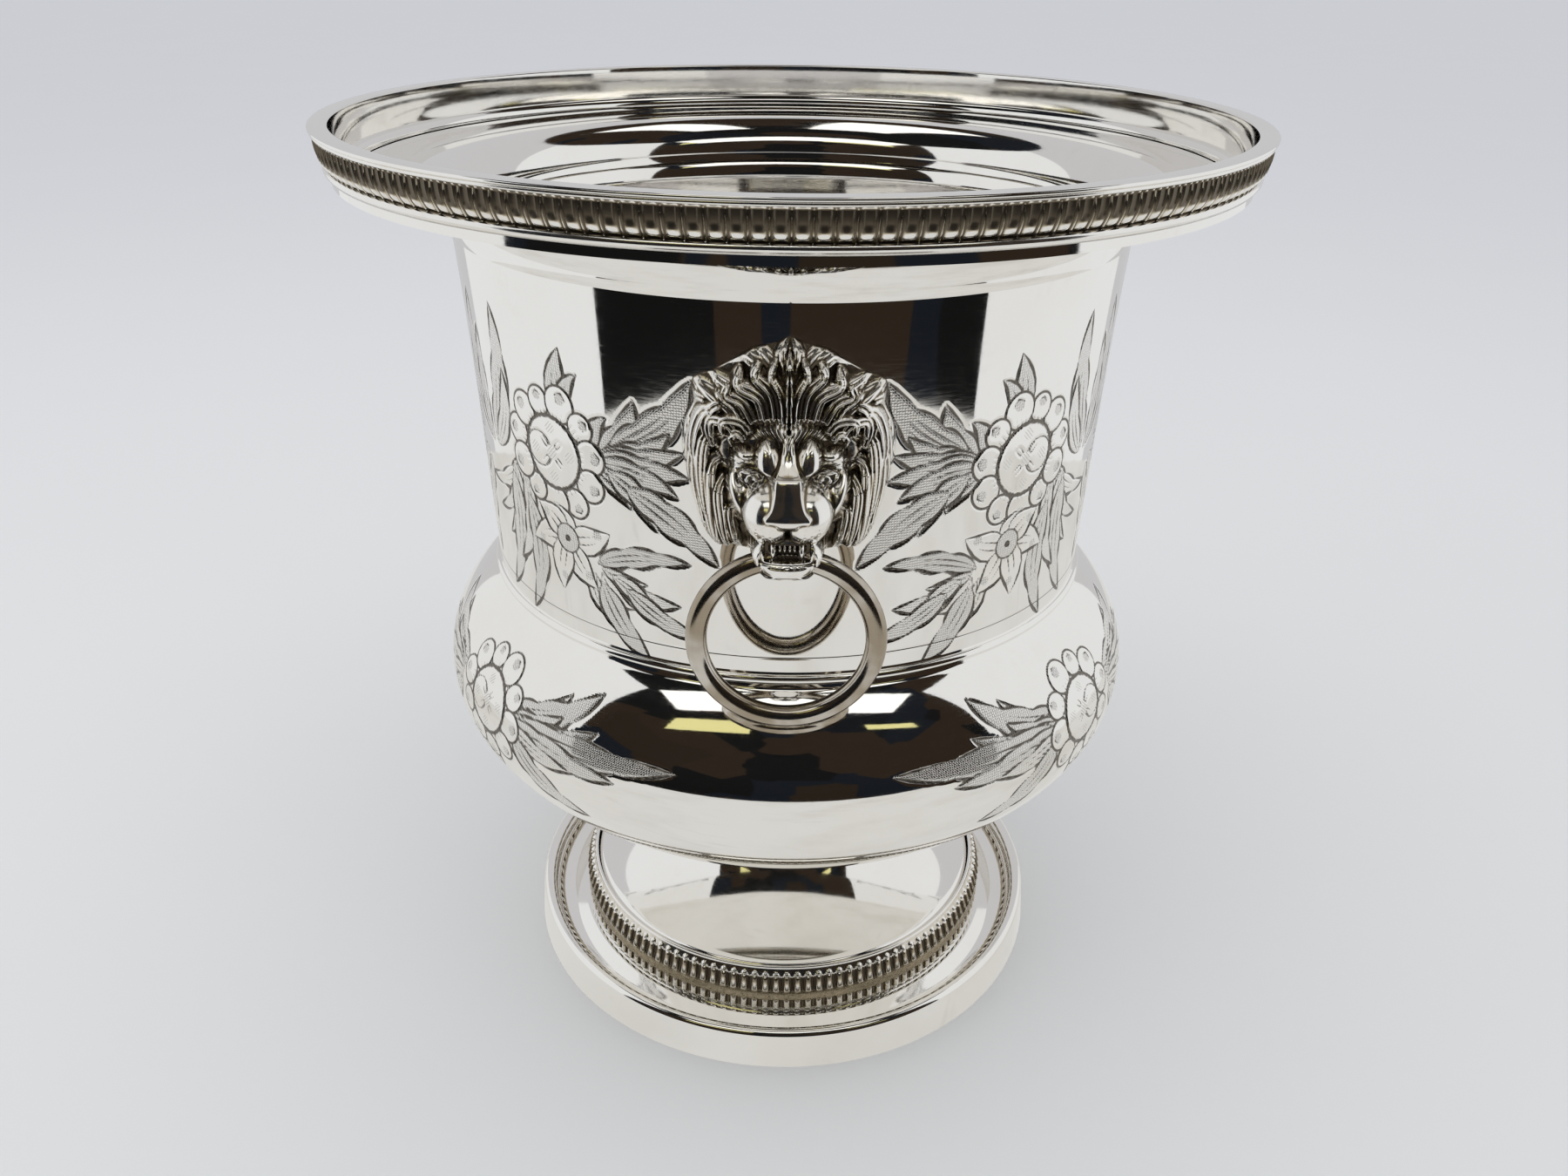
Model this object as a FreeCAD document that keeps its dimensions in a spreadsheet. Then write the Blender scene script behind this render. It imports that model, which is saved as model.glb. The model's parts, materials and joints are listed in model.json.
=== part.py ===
"""Footed champagne bucket in silver plate: a spun urn with a cast gadroon border,
two cast lion masks and a swinging ring handle in each lion's mouth.

The frame is in millimetres, +Z up, with the origin at the centre of the foot's underside.
The front mask faces -Y and the back mask faces +Y.
"""
import FreeCAD, Part
import math
import os
import Sketcher
from FreeCAD import Placement, Rotation, Vector

# Driving dimensions, in millimetres and degrees, in the order they appear going down the bucket.
DIMENSIONS = {
    "overall_height": 250.0,
    "sheet": 1.2,
    # rim
    "rim_radius": 116.8,
    "lip_width": 4.65,
    "lip_sheet": 0.8,
    "border_sheet": 0.85,
    "border_height": 9.8,
    "border_taper": 3.1,
    "border_belly": 6.0,
    "border_bead": 1.2,
    "collar_drop": 12.8,
    "collar_lean": 0.45,
    "step_radius": 2.4,
    # flange
    "flange_drop": 11.5,
    "flange_dish": 1.8,
    "flange_turn": 12.0,
    # wall
    "wall_top_height": 223.7,
    "wall_top_radius": 87.0,
    "wall_waist_height": 175.0,
    "wall_waist_radius": 84.4,
    "wall_flare": 1200.0,
    "wall_lean": 2.0,
    # waist moulding
    "moulding_height": 3.2,
    "moulding_reach": 1.4,
    # bowl
    "bowl_radius": 99.2,
    "bowl_height": 102.7,
    "shoulder_bend": 26.8,
    "shoulder_angle": 29.2,
    "shoulder_upper_bend": 42.5,
    "shoulder_upper_angle": 54.0,
    "waist_bend": 2.0,
    "belly_bend": 28.4,
    "belly_angle": 34.6,
    "belly_lower_bend": 57.4,
    "belly_lower_angle": 59.6,
    "bowl_base_bend": 121.9,
    "bowl_base_angle": 79.8,
    # neck and stem
    "neck_radius": 28.0,
    "neck_height": 50.6,
    "collar_bore": 16.0,
    "neck_bead": 1.4,
    "stem_bend": 46.0,
    "stem_foot_radius": 58.9,
    "stem_foot_height": 20.2,
    "stem_foot_angle": 75.6,
    "stem_corner": 2.5,
    "skirt_radius": 60.8,
    "skirt_bottom": 3.8,
    # gadroon ring on the foot
    "ring_top": 20.7,
    "ring_bottom": 5.4,
    "ring_radius": 65.0,
    "ring_bend": 9.5,
    "ring_ledge": 1.4,
    # foot
    "foot_radius": 80.85,
    "dish_radius": 65.2,
    "dish_lip_bend": 2.0,
    "dish_slope": 22.0,
    "dish_valley_radius": 68.95,
    "dish_bend": 5.0,
    "shoulder_rise": 75.0,
    "shoulder_height": 12.0,
    "foot_wall_radius": 80.0,
    "shoulder_corner": 1.9,
    "foot_wire_width": 2.0,
    "foot_wire_height": 2.4,
    # fixing
    "stud_radius": 4.0,
    "stud_head_radius": 14.0,
    "stud_head_thickness": 1.5,
    "stud_length": 17.0,
    "stud_clearance": 0.4,
    "washer_radius": 20.0,
    "washer_thickness": 1.6,
    "nut_across_flats": 13.0,
    "nut_height": 6.5,
    # ring handles
    "handle_outer_radius": 22.35,
    "handle_wire_radius": 2.4,
    "handle_reach": 97.5,
    "handle_height": 151.6,
    # lion masks
    "mask_width": 45.0,
    "mask_height": 53.0,
    "mask_centre_height": 190.0,
    "mask_depth": 10.0,
    "mask_reach": 105.0,
    "muzzle_half_width": 7.7,
    "tunnel_radius": 3.6,
    "solder_gap": 0.05,
}

doc = FreeCAD.newDocument("champagne_bucket")


class Size:
    """A length or angle: its text as a spreadsheet expression, and its value now."""

    def __init__(self, text, value):
        self.text = text
        self.value = value

    def join(self, sign, other, value):
        return Size(f"({self.text} {sign} {other.text})", value)

    def __add__(self, other):
        other = as_size(other)
        return self.join("+", other, self.value + other.value)

    def __sub__(self, other):
        other = as_size(other)
        return self.join("-", other, self.value - other.value)

    def __mul__(self, other):
        other = as_size(other)
        return self.join("*", other, self.value * other.value)

    def __truediv__(self, other):
        other = as_size(other)
        return self.join("/", other, self.value / other.value)

    def __neg__(self):
        return Size(f"(0 - {self.text})", -self.value)


def as_size(number):
    if isinstance(number, Size):
        return number
    return Size(repr(number), float(number))


def cosine(angle):
    return Size(f"cos({angle.text})", math.cos(math.radians(angle.value)))


def sine(angle):
    return Size(f"sin({angle.text})", math.sin(math.radians(angle.value)))


def fill_sheet():
    """Write the driving dimensions to the spreadsheet and return them as sizes by name."""
    sheet = doc.addObject("Spreadsheet::Sheet", "Sizes")
    for row, (name, value) in enumerate(DIMENSIONS.items(), start=1):
        sheet.set(f"A{row}", name)
        sheet.set(f"B{row}", str(value))
        sheet.setAlias(f"B{row}", name)
    doc.recompute()
    return {name: Size(f"Sizes.{name}", value) for name, value in DIMENSIONS.items()}


size = fill_sheet()


class Outline:
    """A closed half-section of corners (radius, height), joined by straight and round sides."""

    def __init__(self, radius, height):
        self.corners = [(as_size(radius), as_size(height))]
        self.bends = []

    def side_to(self, radius, height, bend=None):
        """Add a side to a corner. Its bend radius is positive when its centre is on the left."""
        self.corners.append((as_size(radius), as_size(height)))
        self.bends.append(None if bend is None else as_size(bend))
        return self

    def close(self, bend=None):
        self.bends.append(None if bend is None else as_size(bend))
        return self


def arc_geometry(start, end, bend):
    """The arc of radius |bend| from start to end, with its centre on the left if bend > 0."""
    chord = end - start
    left = Vector(-chord.y, chord.x, 0).normalize()
    rise = math.sqrt(bend * bend - chord.Length ** 2 / 4)
    centre = (start + end) / 2 + left * (rise if bend > 0 else -rise)
    circle = Part.Circle(centre, Vector(0, 0, 1), abs(bend))
    first, last = (start, end) if bend > 0 else (end, start)
    return Part.ArcOfCircle(circle, circle.parameter(first), circle.parameter(last))


def bind(sketch, constraint, name, expression):
    """Add a sketch constraint and tie its value to the spreadsheet."""
    index = sketch.addConstraint(constraint)
    sketch.renameConstraint(index, name)
    sketch.setExpression(f"Constraints.{name}", expression)


def place_corner(sketch, side, end, corner, label):
    """Fix one end of a side at a corner, measured from the sketch's origin."""
    for kind, axis, where in (("DistanceX", -2, corner[0]), ("DistanceY", -1, corner[1])):
        if abs(where.value) < 1e-9:
            sketch.addConstraint(Sketcher.Constraint("PointOnObject", side, end, axis))
            continue
        constraint = Sketcher.Constraint(kind, -1, 1, side, end, where.value)
        bind(sketch, constraint, f"{kind}_{label}", where.text)


def draw(sketch, outline):
    """Draw an outline in a sketch, with every corner and bend tied to the spreadsheet."""
    points = [Vector(radius.value, height.value, 0) for radius, height in outline.corners]
    starts = []
    ends = []
    for index, bend in enumerate(outline.bends):
        start = points[index]
        end = points[(index + 1) % len(points)]
        if bend is None:
            sketch.addGeometry(Part.LineSegment(start, end), False)
        else:
            sketch.addGeometry(arc_geometry(start, end, bend.value), False)
        clockwise = bend is not None and bend.value < 0
        starts.append(2 if clockwise else 1)
        ends.append(1 if clockwise else 2)
    for index, bend in enumerate(outline.bends):
        following = (index + 1) % len(points)
        joint = Sketcher.Constraint("Coincident", index, ends[index], following, starts[following])
        sketch.addConstraint(joint)
        place_corner(sketch, index, starts[index], outline.corners[index], f"corner_{index}")
        if bend is not None:
            constraint = Sketcher.Constraint("Radius", index, abs(bend.value))
            text = bend.text if bend.value > 0 else (-bend).text
            bind(sketch, constraint, f"bend_{index}", text)


def new_body(name):
    body = doc.addObject("PartDesign::Body", name)
    body.Label = name
    return body


def new_sketch(body, name, role):
    """A sketch on one of the body's own origin planes."""
    sketch = body.newObject("Sketcher::SketchObject", name)
    plane = next(item for item in body.Origin.OriginFeatures if item.Role == role)
    sketch.AttachmentSupport = [(plane, "")]
    sketch.MapMode = "FlatFace"
    return sketch


def spin(name, outline):
    """A body turned about the bucket's axis from its half-section."""
    body = new_body(name)
    sketch = new_sketch(body, f"{name}_section", "XZ_Plane")
    draw(sketch, outline)
    revolution = body.newObject("PartDesign::Revolution", f"{name}_revolution")
    revolution.Profile = sketch
    revolution.ReferenceAxis = (sketch, ["V_Axis"])
    revolution.Angle = 360
    sketch.Visibility = False
    return body


def station(radius, height, normal, bend=None):
    """A point on a spun sheet's outer face, the angle of the face's normal there above level,
    and the radius of the bend that leads to it: positive where the sheet bulges outwards."""
    bend = None if bend is None else as_size(bend)
    return (as_size(radius), as_size(height), as_size(normal), bend)


def bend_onwards(last, turn_to, bend):
    """The station after a tangent bend that turns the normal from the last station's angle."""
    radius, height, normal, _ = last
    turn_to = as_size(turn_to)
    bend = as_size(bend)
    return station(radius + bend * (cosine(turn_to) - cosine(normal)),
                   height + bend * (sine(turn_to) - sine(normal)), turn_to, bend)


def spin_sheet(name, stations, thickness):
    """A spun shell: its outer face runs through the stations, which go round it with the
    outer face on the left, and its inner face is the same line one thickness inside."""
    outline = Outline(stations[0][0], stations[0][1])
    for radius, height, _, bend in stations[1:]:
        outline.side_to(radius, height, None if bend is None else -bend)
    inner = []
    for radius, height, normal, bend in stations:
        inner.append((radius - thickness * cosine(normal), height - thickness * sine(normal)))
    outline.side_to(*inner[-1])
    for index in range(len(inner) - 1, 0, -1):
        bend = stations[index][3]
        outline.side_to(*inner[index - 1], None if bend is None else bend - thickness)
    return spin(name, outline.close())


# --- rim -----------------------------------------------------------------------------------

lip_inner = size["rim_radius"] - size["lip_width"]
collar_inner = lip_inner - size["collar_lean"]
collar_outer = lip_inner + size["border_sheet"]
lip_underside = size["overall_height"] - size["lip_sheet"]
collar_bottom = size["overall_height"] - size["collar_drop"]
flange_top = size["overall_height"] - size["flange_drop"]


def make_rim_collar():
    """The upright strip inside the rim, with the flat lip turned out over the border."""
    outline = Outline(lip_inner, size["overall_height"])
    outline.side_to(collar_inner, flange_top)
    outline.side_to(collar_inner, collar_bottom)
    outline.side_to(collar_outer, collar_bottom)
    outline.side_to(collar_outer, lip_underside)
    outline.side_to(size["rim_radius"], lip_underside)
    outline.side_to(size["rim_radius"], size["overall_height"])
    return spin("rim_collar", outline.close())


def make_rim_border():
    """The cast gadroon border outside the collar: upright above, belled in to a bead below."""
    outer = size["rim_radius"] - 0.3
    foot = size["rim_radius"] - size["border_taper"]
    bottom = lip_underside - size["border_height"]
    bead_top = bottom + size["border_bead"] * 2
    outline = Outline(collar_outer, lip_underside)
    outline.side_to(collar_outer, bottom)
    outline.side_to(foot, bottom)
    outline.side_to(foot, bead_top, size["border_bead"] * 1.05)
    outline.side_to(outer, bead_top + size["border_belly"], size["border_belly"] * 1.6)
    outline.side_to(outer, lip_underside)
    return spin("rim_border", outline.close())


def make_rim_step():
    """The quarter-round moulding that covers the joint of the collar and the flange."""
    outline = Outline(collar_inner, flange_top)
    outline.side_to(collar_inner, flange_top + size["step_radius"])
    outline.side_to(collar_inner - size["step_radius"], flange_top, size["step_radius"] * 1.3)
    return spin("rim_step_moulding", outline.close())


def make_rim_flange():
    """The broad flange, spun out from the wall and turned down into the bucket's mouth."""
    turn = size["flange_turn"] - size["sheet"]
    neck = station(size["wall_top_radius"], size["wall_top_height"], -size["wall_lean"] * 2)
    corner_height = flange_top - size["flange_dish"] - size["sheet"]
    corner = station(size["wall_top_radius"] + turn, corner_height, -90.0)
    edge = station(collar_inner, flange_top - size["sheet"], -90.0)
    neck = station(neck[0], neck[1], neck[2], -turn * 1.06)
    return spin_sheet("rim_flange", [edge, corner, neck], size["sheet"])


# --- wall and bowl ---------------------------------------------------------------------------

equator = station(size["bowl_radius"], size["bowl_height"], 0.0)
shoulder = bend_onwards(equator, size["shoulder_angle"], size["shoulder_bend"])
waist = bend_onwards(shoulder, size["shoulder_upper_angle"], size["shoulder_upper_bend"])
bowl_edge = bend_onwards(waist, 0.0, -size["waist_bend"])


def make_upper_wall():
    """The tall wall, nearly straight below and slightly flared towards the flange."""
    lean = -size["wall_lean"]
    top = station(size["wall_top_radius"], size["wall_top_height"], lean * 2)
    waist_point = station(size["wall_waist_radius"], size["wall_waist_height"], lean,
                          -size["wall_flare"])
    bottom = station(bowl_edge[0], bowl_edge[1], lean)
    return spin_sheet("upper_wall", [top, waist_point, bottom], size["sheet"])


def make_waist_moulding():
    """The half-round wire that covers the joint of the wall and the bowl."""
    inner = bowl_edge[0] + size["solder_gap"] * 2
    low = bowl_edge[1]
    high = low + size["moulding_height"]
    outline = Outline(inner, high)
    outline.side_to(inner, low)
    outline.side_to(inner + size["moulding_reach"], low)
    outline.side_to(inner + 0.4, high, size["moulding_height"] * 1.2)
    return spin("waist_moulding", outline.close())


def make_lower_bowl():
    """The bulged bowl, with its flat base, that the wall stands on."""
    angles = (size["belly_angle"], size["belly_lower_angle"], size["bowl_base_angle"])
    bends = (size["belly_bend"], size["belly_lower_bend"], size["bowl_base_bend"])
    stations = [station(bowl_edge[0], bowl_edge[1], 0.0)]
    stations.append(station(waist[0], waist[1], waist[2], -size["waist_bend"]))
    stations.append(station(shoulder[0], shoulder[1], shoulder[2], size["shoulder_upper_bend"]))
    stations.append(station(equator[0], equator[1], equator[2], size["shoulder_bend"]))
    for angle, bend in zip(angles, bends):
        stations.append(bend_onwards(stations[-1], -angle, bend))
    stations.append(station(0.0, stations[-1][1], -90.0))
    return spin_sheet("lower_bowl", stations, size["sheet"]), stations[-1][1]


# --- neck, stem and foot -----------------------------------------------------------------------


def make_neck_collar(bowl_base):
    """The turned ring between the bowl's base and the top of the stem."""
    edge = size["neck_radius"]
    top = bowl_base - size["solder_gap"]
    outline = Outline(size["collar_bore"], top)
    outline.side_to(size["collar_bore"], size["neck_height"])
    outline.side_to(edge, size["neck_height"])
    outline.side_to(edge - size["neck_bead"], top, (top - size["neck_height"]) * 0.62)
    return spin("neck_collar", outline.close())


def make_foot_stem():
    """The trumpet stem: a bored top plate, a hollow curve out, and a skirt inside the ring."""
    hole = size["stud_radius"] + size["stud_clearance"]
    corner = size["stem_corner"]
    neck_low = size["neck_height"] - corner
    stations = [station(hole, size["neck_height"], 90.0)]
    stations.append(station(size["neck_radius"] - corner, size["neck_height"], 90.0))
    stations.append(station(size["neck_radius"], neck_low, 0.0, corner))
    stations.append(station(size["stem_foot_radius"], size["stem_foot_height"],
                            size["stem_foot_angle"], -size["stem_bend"]))
    stations.append(station(size["skirt_radius"], size["stem_foot_height"] - corner, 0.0, corner))
    stations.append(station(size["skirt_radius"], size["skirt_bottom"], 0.0))
    return spin_sheet("foot_stem", stations, size["sheet"])


def make_foot_gadroon_ring():
    """The cast gadroon ring round the skirt: a swelling quarter-round on a narrow ledge."""
    inner = size["skirt_radius"] + size["solder_gap"]
    ledge = size["ring_bottom"] + size["ring_ledge"]
    outline = Outline(inner, size["ring_top"] - 1.2)
    outline.side_to(inner, size["ring_bottom"])
    outline.side_to(size["ring_radius"] - 0.7, size["ring_bottom"])
    outline.side_to(size["ring_radius"], ledge)
    outline.side_to(inner + 1.1, size["ring_top"], size["ring_bend"] * 1.4)
    return spin("foot_gadroon_ring", outline.close())


def make_foot_base():
    """The foot: a shallow dish round the ring, a rolled shoulder and an upright wall."""
    stations = [station(size["skirt_radius"], size["ring_bottom"], 90.0)]
    stations.append(station(size["dish_radius"], size["ring_bottom"], 90.0))
    downhill = -size["dish_slope"] + 90.0
    uphill = size["shoulder_rise"] + 90.0
    stations.append(bend_onwards(stations[-1], downhill, size["dish_lip_bend"]))
    lip_radius, lip_height = stations[-1][:2]
    run = size["dish_valley_radius"] - lip_radius
    fall = run * sine(size["dish_slope"]) / cosine(size["dish_slope"])
    stations.append(station(size["dish_valley_radius"], lip_height - fall, downhill))
    stations.append(bend_onwards(stations[-1], uphill, -size["dish_bend"]))
    corner = size["shoulder_corner"]
    roll_radius = size["foot_wall_radius"] - corner
    roll_height = size["shoulder_height"] - corner
    stations.append(station(roll_radius + corner * cosine(uphill),
                            roll_height + corner * sine(uphill), uphill))
    stations.append(station(size["foot_wall_radius"], roll_height, 0.0, corner))
    stations.append(station(size["foot_radius"], 0.0, 0.0))
    return spin_sheet("foot_base", stations, size["sheet"])


def make_foot_wire():
    """The wire soldered inside the foot's lower edge, which the bucket stands on."""
    outer = size["foot_radius"] - size["sheet"] * 1.25
    top = size["foot_wire_height"]
    outline = Outline(outer, 0.0)
    outline.side_to(outer, top)
    outline.side_to(outer - size["foot_wire_width"] / 2, top)
    outline.side_to(outer - size["foot_wire_width"], top / 2, size["foot_wire_width"])
    outline.side_to(outer - size["foot_wire_width"], 0.0)
    return spin("foot_wire", outline.close())


# --- fixing --------------------------------------------------------------------------------------


def make_fixing_stud(bowl_base):
    """The stud soldered under the bowl, which passes through the stem's top plate."""
    head_bottom = bowl_base - size["stud_head_thickness"]
    outline = Outline(0.0, bowl_base)
    outline.side_to(0.0, bowl_base - size["stud_length"])
    outline.side_to(size["stud_radius"], bowl_base - size["stud_length"])
    outline.side_to(size["stud_radius"], head_bottom)
    outline.side_to(size["stud_head_radius"], head_bottom)
    outline.side_to(size["stud_head_radius"], bowl_base)
    return spin("fixing_stud", outline.close())


plate_underside = size["neck_height"] - size["sheet"]
washer_underside = plate_underside - size["washer_thickness"]


def make_spreader_washer():
    """The broad washer that spreads the nut's pull over the stem's top plate."""
    hole = size["stud_radius"] + size["stud_clearance"]
    outline = Outline(hole, plate_underside)
    outline.side_to(hole, washer_underside)
    outline.side_to(size["washer_radius"], washer_underside)
    outline.side_to(size["washer_radius"], plate_underside)
    return spin("spreader_washer", outline.close())


def make_fixing_nut():
    """The hexagon nut under the washer."""
    body = new_body("fixing_nut")
    sketch = new_sketch(body, "fixing_nut_section", "XY_Plane")
    corner_radius = size["nut_across_flats"] / math.sqrt(3)
    corners = []
    for index in range(6):
        angle = math.radians(60 * index)
        corners.append(Vector(math.cos(angle), math.sin(angle), 0) * corner_radius.value)
    for index in range(6):
        sketch.addGeometry(Part.LineSegment(corners[index], corners[(index + 1) % 6]), False)
    circle = sketch.addGeometry(Part.Circle(Vector(), Vector(0, 0, 1), corner_radius.value), True)
    for index in range(6):
        sketch.addConstraint(Sketcher.Constraint("Coincident", index, 2, (index + 1) % 6, 1))
        sketch.addConstraint(Sketcher.Constraint("PointOnObject", index, 1, circle))
        if index:
            sketch.addConstraint(Sketcher.Constraint("Equal", 0, index))
    sketch.addConstraint(Sketcher.Constraint("Coincident", circle, 3, -1, 1))
    sketch.addConstraint(Sketcher.Constraint("PointOnObject", 0, 1, -1))
    bind(sketch, Sketcher.Constraint("Radius", circle, corner_radius.value), "corner_radius",
         corner_radius.text)
    hole = sketch.addGeometry(Part.Circle(Vector(), Vector(0, 0, 1), size["stud_radius"].value), False)
    sketch.addConstraint(Sketcher.Constraint("Coincident", hole, 3, -1, 1))
    bind(sketch, Sketcher.Constraint("Radius", hole, size["stud_radius"].value), "bore_radius",
         size["stud_radius"].text)
    pad = body.newObject("PartDesign::Pad", "fixing_nut_pad")
    pad.Profile = sketch
    pad.setExpression("Length", size["nut_height"].text)
    sketch.Visibility = False
    body.setExpression("Placement.Base.z", (washer_underside - size["nut_height"]).text)
    return body


# --- masks and ring handles ------------------------------------------------------------------------

ring_centreline = size["handle_outer_radius"] - size["handle_wire_radius"]
half_chord = size["muzzle_half_width"]
ring_top = size["handle_height"] + ring_centreline
chord_height = Size(f"sqrt({(ring_centreline * ring_centreline - half_chord * half_chord).text})",
                    math.sqrt(ring_centreline.value ** 2 - half_chord.value ** 2))
pivot_height = (ring_top + size["handle_height"] + chord_height) / 2


def set_sizes(thing, **sizes):
    for name, value in sizes.items():
        thing.setExpression(name.replace("_", "."), as_size(value).text)


def lump(name, side, out, up, half_width, half_depth, half_height):
    """An ellipsoid of the lion's head: side is +X, out is away from the bucket's axis."""
    ball = doc.addObject("Part::Ellipsoid", name)
    ball.Angle1 = -90
    ball.Angle2 = 90
    set_sizes(ball, Radius2=half_width, Radius3=half_depth, Radius1=half_height,
              Placement_Base_x=side, Placement_Base_y=-as_size(out), Placement_Base_z=up)
    return ball


def head_lumps(name):
    """The lion's head as overlapping rounded masses, each placed from the mask's own sizes."""
    width = size["mask_width"]
    height = size["mask_height"]
    middle = size["mask_centre_height"]
    front = size["mask_reach"]
    lips = pivot_height + size["tunnel_radius"] * 2.2
    back = front - size["mask_depth"] * 2.3
    masses = [
        lump(f"{name}_mane", 0.0, back, middle, width / 2, size["mask_depth"], height / 2),
        lump(f"{name}_face", 0.0, back + 5.0, middle - 1.0, width * 0.33, 10.0, height * 0.36),
        lump(f"{name}_forelock", 0.0, back + 4.0, middle + height * 0.34, 7.5, 5.5, height * 0.15),
        lump(f"{name}_nose", 0.0, front - 8.0, middle - 1.5, 4.6, 7.0, height * 0.19),
        lump(f"{name}_muzzle", 0.0, front - 10.5, lips, half_chord * 1.32, 9.6, height * 0.135),
        lump(f"{name}_jaw", 0.0, front - 11.0, pivot_height - 0.7, half_chord * 1.12, 8.8,
             height * 0.115),
    ]
    for side, sign in (("right", 1), ("left", -1)):
        masses.append(lump(f"{name}_{side}_brow", width * 0.13 * sign, front - 13.0,
                           middle + height * 0.11, 5.0, 5.5, 4.6))
        masses.append(lump(f"{name}_{side}_ear", width * 0.40 * sign, back + 2.5,
                           middle + height * 0.33, 4.0, 4.0, 5.5))
    return masses


def make_wall_core(name):
    """The room that the wall fills, one solder gap oversize, which shapes a mask's back."""
    gap = size["solder_gap"]
    outline = Outline(0.0, size["wall_top_height"])
    outline.side_to(0.0, bowl_edge[1])
    outline.side_to(bowl_edge[0] + gap, bowl_edge[1])
    outline.side_to(size["wall_waist_radius"] + gap, size["wall_waist_height"])
    outline.side_to(size["wall_top_radius"] + gap, size["wall_top_height"], -size["wall_flare"])
    return spin(name, outline.close())


def make_lion_mask(name, turn):
    """A cast lion mask: its back follows the wall, and a tunnel for the ring crosses its mouth."""
    head = doc.addObject("Part::MultiFuse", f"{name}_head")
    head.Shapes = head_lumps(name)
    tunnel = doc.addObject("Part::Cylinder", f"{name}_tunnel")
    set_sizes(tunnel, Radius=size["tunnel_radius"], Height=size["mask_width"])
    tunnel.Placement = Placement(Vector(), Rotation(Vector(0, 1, 0), 90))
    set_sizes(tunnel, Placement_Base_x=-size["mask_width"] / 2,
              Placement_Base_y=-size["handle_reach"], Placement_Base_z=pivot_height)
    tools = doc.addObject("Part::MultiFuse", f"{name}_tools")
    tools.Shapes = [make_wall_core(f"{name}_wall_core"), tunnel]
    mask = doc.addObject("Part::Cut", name)
    mask.Base = head
    mask.Tool = tools
    mask.Label = name
    mask.Placement = Placement(Vector(), Rotation(Vector(0, 0, 1), turn))
    return mask


def make_ring_handle(name, turn):
    """A ring of round wire that hangs in the lion's mouth."""
    ring = doc.addObject("Part::Torus", name)
    ring.Label = name
    set_sizes(ring, Radius1=ring_centreline, Radius2=size["handle_wire_radius"])
    upright = Rotation(Vector(1, 0, 0), 90)
    ring.Placement = Placement(Vector(), Rotation(Vector(0, 0, 1), turn) * upright)
    reach = size["handle_reach"] if turn else -size["handle_reach"]
    set_sizes(ring, Placement_Base_y=reach, Placement_Base_z=size["handle_height"])
    return ring


# --- assembly --------------------------------------------------------------------------------------


def make_pieces():
    lower_bowl, bowl_base = make_lower_bowl()
    pieces = [
        make_rim_collar(),
        make_rim_border(),
        make_rim_step(),
        make_rim_flange(),
        make_upper_wall(),
        make_waist_moulding(),
        lower_bowl,
        make_neck_collar(bowl_base),
        make_foot_stem(),
        make_foot_gadroon_ring(),
        make_foot_base(),
        make_foot_wire(),
        make_fixing_stud(bowl_base),
        make_spreader_washer(),
        make_fixing_nut(),
    ]
    for end, turn in (("front", 0), ("back", 180)):
        pieces.append(make_lion_mask(f"lion_mask_{end}", turn))
        pieces.append(make_ring_handle(f"ring_handle_{end}", turn))
    return pieces


def check(pieces):
    for item in doc.Objects:
        if {"Invalid", "Error"} & set(item.State):
            raise RuntimeError(f"{item.Label} failed: {item.State}")
    for piece in pieces:
        if piece.Shape.isNull() or not piece.Shape.isValid():
            raise RuntimeError(f"{piece.Label} has no valid shape")
        if len(piece.Shape.Solids) != 1:
            raise RuntimeError(f"{piece.Label} is {len(piece.Shape.Solids)} solids, not one")


def main():
    pieces = make_pieces()
    doc.recompute()
    check(pieces)
    os.makedirs("parts", exist_ok=True)
    for piece in pieces:
        piece.Shape.exportStep(f"parts/{piece.Label}.step")
        box = piece.Shape.BoundBox
        print(f"{piece.Label}: {piece.Shape.Volume:.0f} mm3, "
              f"radius {box.XMax:.1f}, height {box.ZMin:.1f} to {box.ZMax:.1f}")


main()
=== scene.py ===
"""Looks of the silver champagne bucket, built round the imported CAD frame.

Outlines are written in millimetres and turned about the bucket's axis; objects are in metres.
"""
import json
import math

import bmesh
import bpy
import numpy as np
from mathutils import Matrix, Vector


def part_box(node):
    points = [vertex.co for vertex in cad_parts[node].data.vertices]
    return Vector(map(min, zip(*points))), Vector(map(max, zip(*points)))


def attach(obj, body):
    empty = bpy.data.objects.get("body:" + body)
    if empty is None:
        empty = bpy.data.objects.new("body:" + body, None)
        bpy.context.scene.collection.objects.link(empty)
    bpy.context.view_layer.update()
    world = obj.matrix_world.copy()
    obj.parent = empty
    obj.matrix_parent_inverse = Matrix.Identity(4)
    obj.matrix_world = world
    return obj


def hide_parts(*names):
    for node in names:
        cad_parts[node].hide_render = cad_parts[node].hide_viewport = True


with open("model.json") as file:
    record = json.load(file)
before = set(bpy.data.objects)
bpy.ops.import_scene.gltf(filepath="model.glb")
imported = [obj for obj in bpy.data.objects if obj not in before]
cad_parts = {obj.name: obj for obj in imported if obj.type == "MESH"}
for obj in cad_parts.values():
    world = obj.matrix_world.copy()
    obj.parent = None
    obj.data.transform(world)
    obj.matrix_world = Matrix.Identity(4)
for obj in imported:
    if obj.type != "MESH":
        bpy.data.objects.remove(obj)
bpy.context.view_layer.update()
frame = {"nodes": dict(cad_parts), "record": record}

MM = 0.001


def top_mm(node):
    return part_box(node)[1].z / MM


def bottom_mm(node):
    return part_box(node)[0].z / MM


def radius_mm(node):
    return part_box(node)[1].x / MM


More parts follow.
